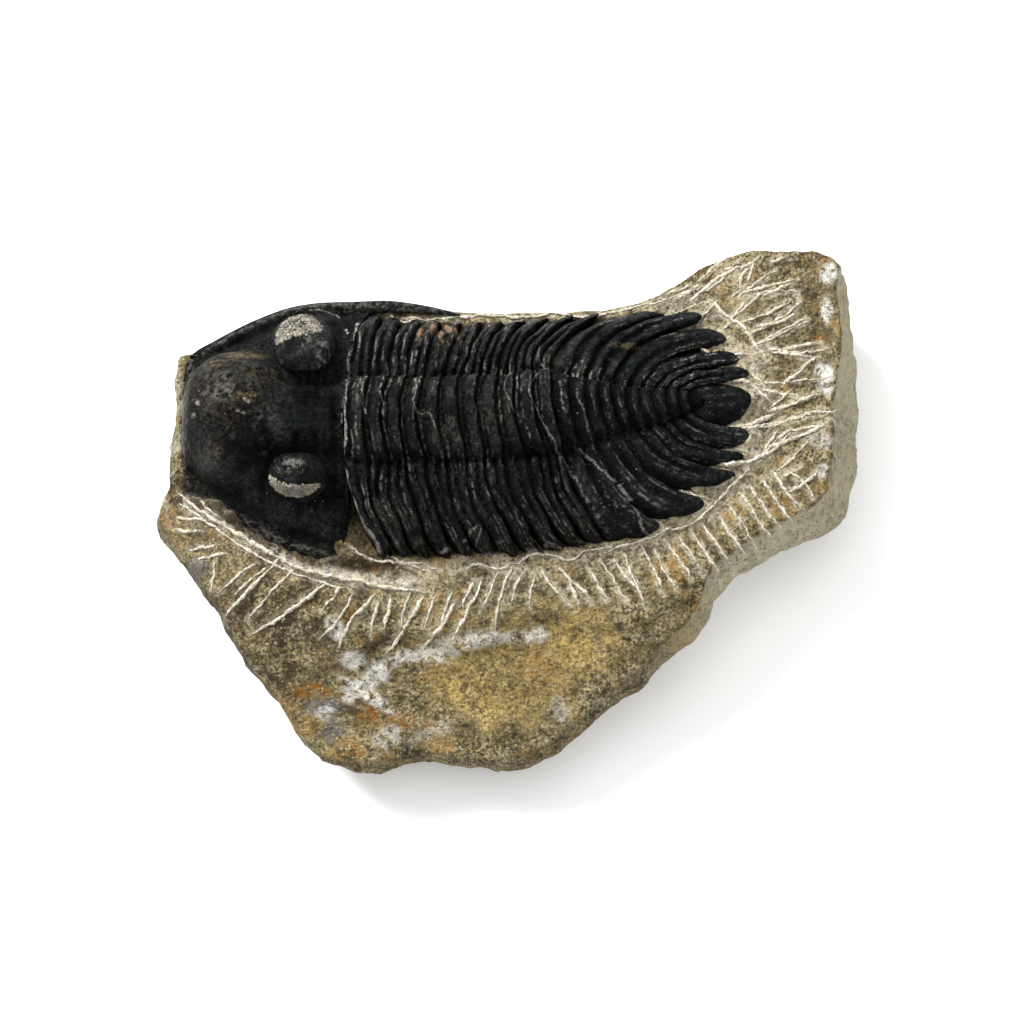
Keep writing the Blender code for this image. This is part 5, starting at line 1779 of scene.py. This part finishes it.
    def tree(self, pale: Material) -> Tree:
        """Geometry nodes that turn lines on the stone into low, uneven ridges."""
        inputs = {"Half Width": 0.0002, "Height Share": 0.6, "Raggedness": 0.0001}
        n, at = start_tree("scraped_ridges", "Geometry", "Lines", inputs, {"Ridges": "Geometry"})
        curve = n.add("GeometryNodeMeshToCurve", Mesh=at["Lines"])
        level = n.add("GeometryNodeSetCurveNormal", {"mode": "Z_UP"}, Curve=curve.outputs[0])
        width = n.add("GeometryNodeInputNamedAttribute", {"data_type": "FLOAT"}, Name="width")
        radius = n.add(
            "GeometryNodeSetCurveRadius", Curve=level.outputs[0], Radius=width.outputs["Attribute"]
        )
        ring = n.add(
            "GeometryNodeCurvePrimitiveCircle", {"mode": "RADIUS"}, Resolution=7, Radius=at["Half Width"]
        )
        flat = n.add("ShaderNodeCombineXYZ", X=at["Height Share"], Y=1.0, Z=1.0)
        squashed = n.add("GeometryNodeTransform", Geometry=ring.outputs[0], Scale=flat.outputs[0])
        tube = n.add(
            "GeometryNodeCurveToMesh", Curve=radius.outputs[0], Profile_Curve=squashed.outputs[0],
            Fill_Caps=True
        )
        for option in tube.inputs:
            if option.name == "Scale":
                n.fill(option, width.outputs["Attribute"])
        grit = n.add("ShaderNodeTexNoise", {"noise_dimensions": "3D"}, Scale=3600.0, Detail=3.0)
        centred = n.add(
            "ShaderNodeVectorMath", {"operation": "SUBTRACT"}, i0=grit.outputs["Color"], i1=(0.5, 0.5, 0.5)
        )
        push = n.add(
            "ShaderNodeVectorMath", {"operation": "SCALE"}, i0=centred.outputs[0], Scale=at["Raggedness"]
        )
        rough = n.add("GeometryNodeSetPosition", Geometry=tube.outputs[0], Offset=push.outputs[0])
        return end_tree(n, "Ridges", rough.outputs[0], pale)

    def lines(self) -> tuple[Array, list[tuple[int, int]], Array]:
        """The marks as points on the stone, the edges that join them, and the half width at each."""
        rng = np.random.default_rng(12)
        paths = [(rng.uniform(*self.stroke_widths), (stroke[:2], stroke[2:])) for stroke in self.strokes]
        xy, edges, widths, first = [], [], [], 0
        for number, (half_width, corners) in enumerate([*paths, *self.ridges]):
            path = np.array(corners) / 10.0
            length = float(np.hypot(*np.diff(path, axis=0).T).sum())
            count = max(7, int(length / self.step))
            t = np.linspace(0.0, 1.0, count)
            line = through(path, t * (len(path) - 1.0))
            along = np.gradient(line, axis=0)
            normal = np.column_stack([-along[:, 1], along[:, 0]]) / np.hypot(*along.T)[:, None]
            bow = rng.uniform(-0.06, 0.06) * length * (len(path) == 2)
            at = np.column_stack([t * length, 0.0 * t + 5.1 * number, 0.0 * t])
            wobble = 0.17 * lattice_noise(at, 1.0, 31) + 0.1 * lattice_noise(at, 0.4, 35)
            line = line + normal * (bow * 4.0 * t * (1.0 - t) + wobble)[:, None]
            taper = np.sqrt(np.clip(np.minimum(t / 0.1, (1.0 - t) / 0.3), 0.05, 1.0))
            uneven = 1.0 + 0.55 * lattice_noise(at, 1.1, 32) + 0.5 * lattice_noise(at, 0.45, 33)
            xy.append(line)
            widths.append(half_width * taper * np.maximum(uneven, 0.2))
            edges += [(first + i, first + i + 1) for i in range(count - 1)]
            first += count
        return np.vstack(xy), edges, np.concatenate(widths)

    def build(self, pale: Material) -> Object:
        """Builds every tool mark as one piece that lies on the stone."""
        xy, edges, widths = self.lines()
        z, _ = self.stone.top_height(xy)
        points = np.column_stack([xy, z + 0.02])
        data = bpy.data.meshes.new("stroke_lines")
        data.from_pydata([Vector(p) * MM for p in points], edges, [])
        layer = data.attributes.new("width", "FLOAT", "POINT")
        layer.data.foreach_set("value", widths.astype(np.float32))
        inputs = {"Half Width": MM, "Height Share": 0.5, "Raggedness": 0.42 * MM}
        piece = grown("tool_marks", placed("stroke_lines", data), self.tree(pale), inputs)
        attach(piece, "root")
        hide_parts("matrix_block")
        return piece


# The table, the lights and the camera.


@dataclass
class Studio:
    """A pale table under soft lights, each (name, place, size, watts), seen from nearly overhead."""

    aim: tuple[float, float, float] = (0.0, 0.0, 17.0)
    distance: float = 450.0
    elevation: float = 78.0
    frame_width: float = 124.93
    sensor: float = 36.0
    sky: float = 0.42
    lights: tuple[tuple[str, tuple[float, float, float], float, float], ...] = (
        ("key_light", (-0.32, 0.30, 0.50), 0.30, 9.4),
        ("fill_light", (0.40, -0.30, 0.50), 0.45, 2.0),
        ("top_light", (0.0, 0.10, 0.80), 0.60, 3.0),
    )

    def camera(self) -> None:
        """Adds the camera at the photograph's viewing angle."""
        data = bpy.data.cameras.new("camera")
        data.sensor_width = self.sensor
        data.lens = self.sensor * self.distance / self.frame_width
        data.clip_start = 0.01
        view = placed("camera", data)
        rise = math.radians(self.elevation)
        away = Vector((0.0, -math.cos(rise), math.sin(rise)))
        view.location = (Vector(self.aim) + away * self.distance) * MM
        view.rotation_euler = away.to_track_quat("Z", "Y").to_euler()
        bpy.context.scene.camera = view

    def light(self, name: str, place: tuple[float, float, float], size: float, watts: float) -> None:
        """Adds a square soft light, in metres, that faces the block."""
        data = bpy.data.lights.new(name, "AREA")
        data.size = size
        data.energy = watts
        lamp = placed(name, data)
        lamp.location = place
        lamp.rotation_euler = Vector(place).to_track_quat("Z", "Y").to_euler()

    def build(self, table: Material) -> None:
        """Builds the table, the lights, the surroundings and the camera."""
        work = bmesh.new()
        bmesh.ops.create_grid(work, x_segments=4, y_segments=4, size=2.0)
        data = bpy.data.meshes.new("table")
        work.to_mesh(data)
        work.free()
        floor = placed("table", data)
        data.materials.append(table)
        for lamp in self.lights:
            self.light(*lamp)
        world = bpy.data.worlds.new("studio")
        world.use_nodes = True
        sky = world.node_tree.nodes["Background"]
        sky.inputs["Color"].default_value = (1.0, 1.0, 1.0, 1.0)
        sky.inputs["Strength"].default_value = self.sky
        bpy.context.scene.world = world
        bpy.context.scene.view_settings.view_transform = "Standard"
        self.camera()


RIGHT_EYE = Eye(
    Side.RIGHT,
    (
        (-25.2, 18.6, 25.5, 4.1, 4.1), (-25.0, 18.1, 28.0, 3.8, 3.8), (-24.8, 16.9, 30.6, 3.4, 3.1),
        (-24.8, 15.8, 32.2, 3.0, 2.3), (-24.9, 15.4, 32.8, 2.1, 1.3),
    ),
    lens_levels=(1.0, 2.9),
    turns=(48.0, 172.0),
)
LEFT_EYE = Eye(
    Side.LEFT,
    (
        (-25.6, 1.9, 25.5, 3.9, 2.9), (-25.5, 2.0, 28.0, 3.7, 2.7), (-25.4, 2.1, 30.6, 3.4, 2.4),
        (-25.4, 2.3, 32.2, 2.9, 1.9), (-25.4, 2.4, 32.8, 2.0, 1.2),
    ),
    lens_levels=(1.2, 2.7),
    turns=(38.0, 172.0),
)


def main() -> None:
    """Builds the whole scene in order and reports each piece."""
    logging.basicConfig(level=logging.INFO, format="%(message)s")
    effects = EffectShelf()
    shell = ShellFinish().build(effects)
    limestone = LimestoneFinish().build(effects)
    scrape, lens = SCRAPE.build(effects), LENS.build(effects)
    stone = StoneBlock(marks=ToolMarks.segments())
    pieces = [
        stone.build(limestone), ToolMarks(stone).build(scrape), HeadShield().build(shell),
        GenalSpine().build(shell)
    ]
    beads = lens_tree(lens)
    for eye in (RIGHT_EYE, LEFT_EYE):
        pieces += eye.build(shell, lens, beads)
    pieces += [ThoraxSegment(index).build(shell) for index in range(THORAX_COUNT)]
    pieces.append(TailShield().build(shell))
    Studio().build(FloorFinish().build(effects))
    for piece in pieces:
        LOG.info("%s: %d faces", piece.name, len(piece.data.polygons))


if __name__ == "__main__":
    main()
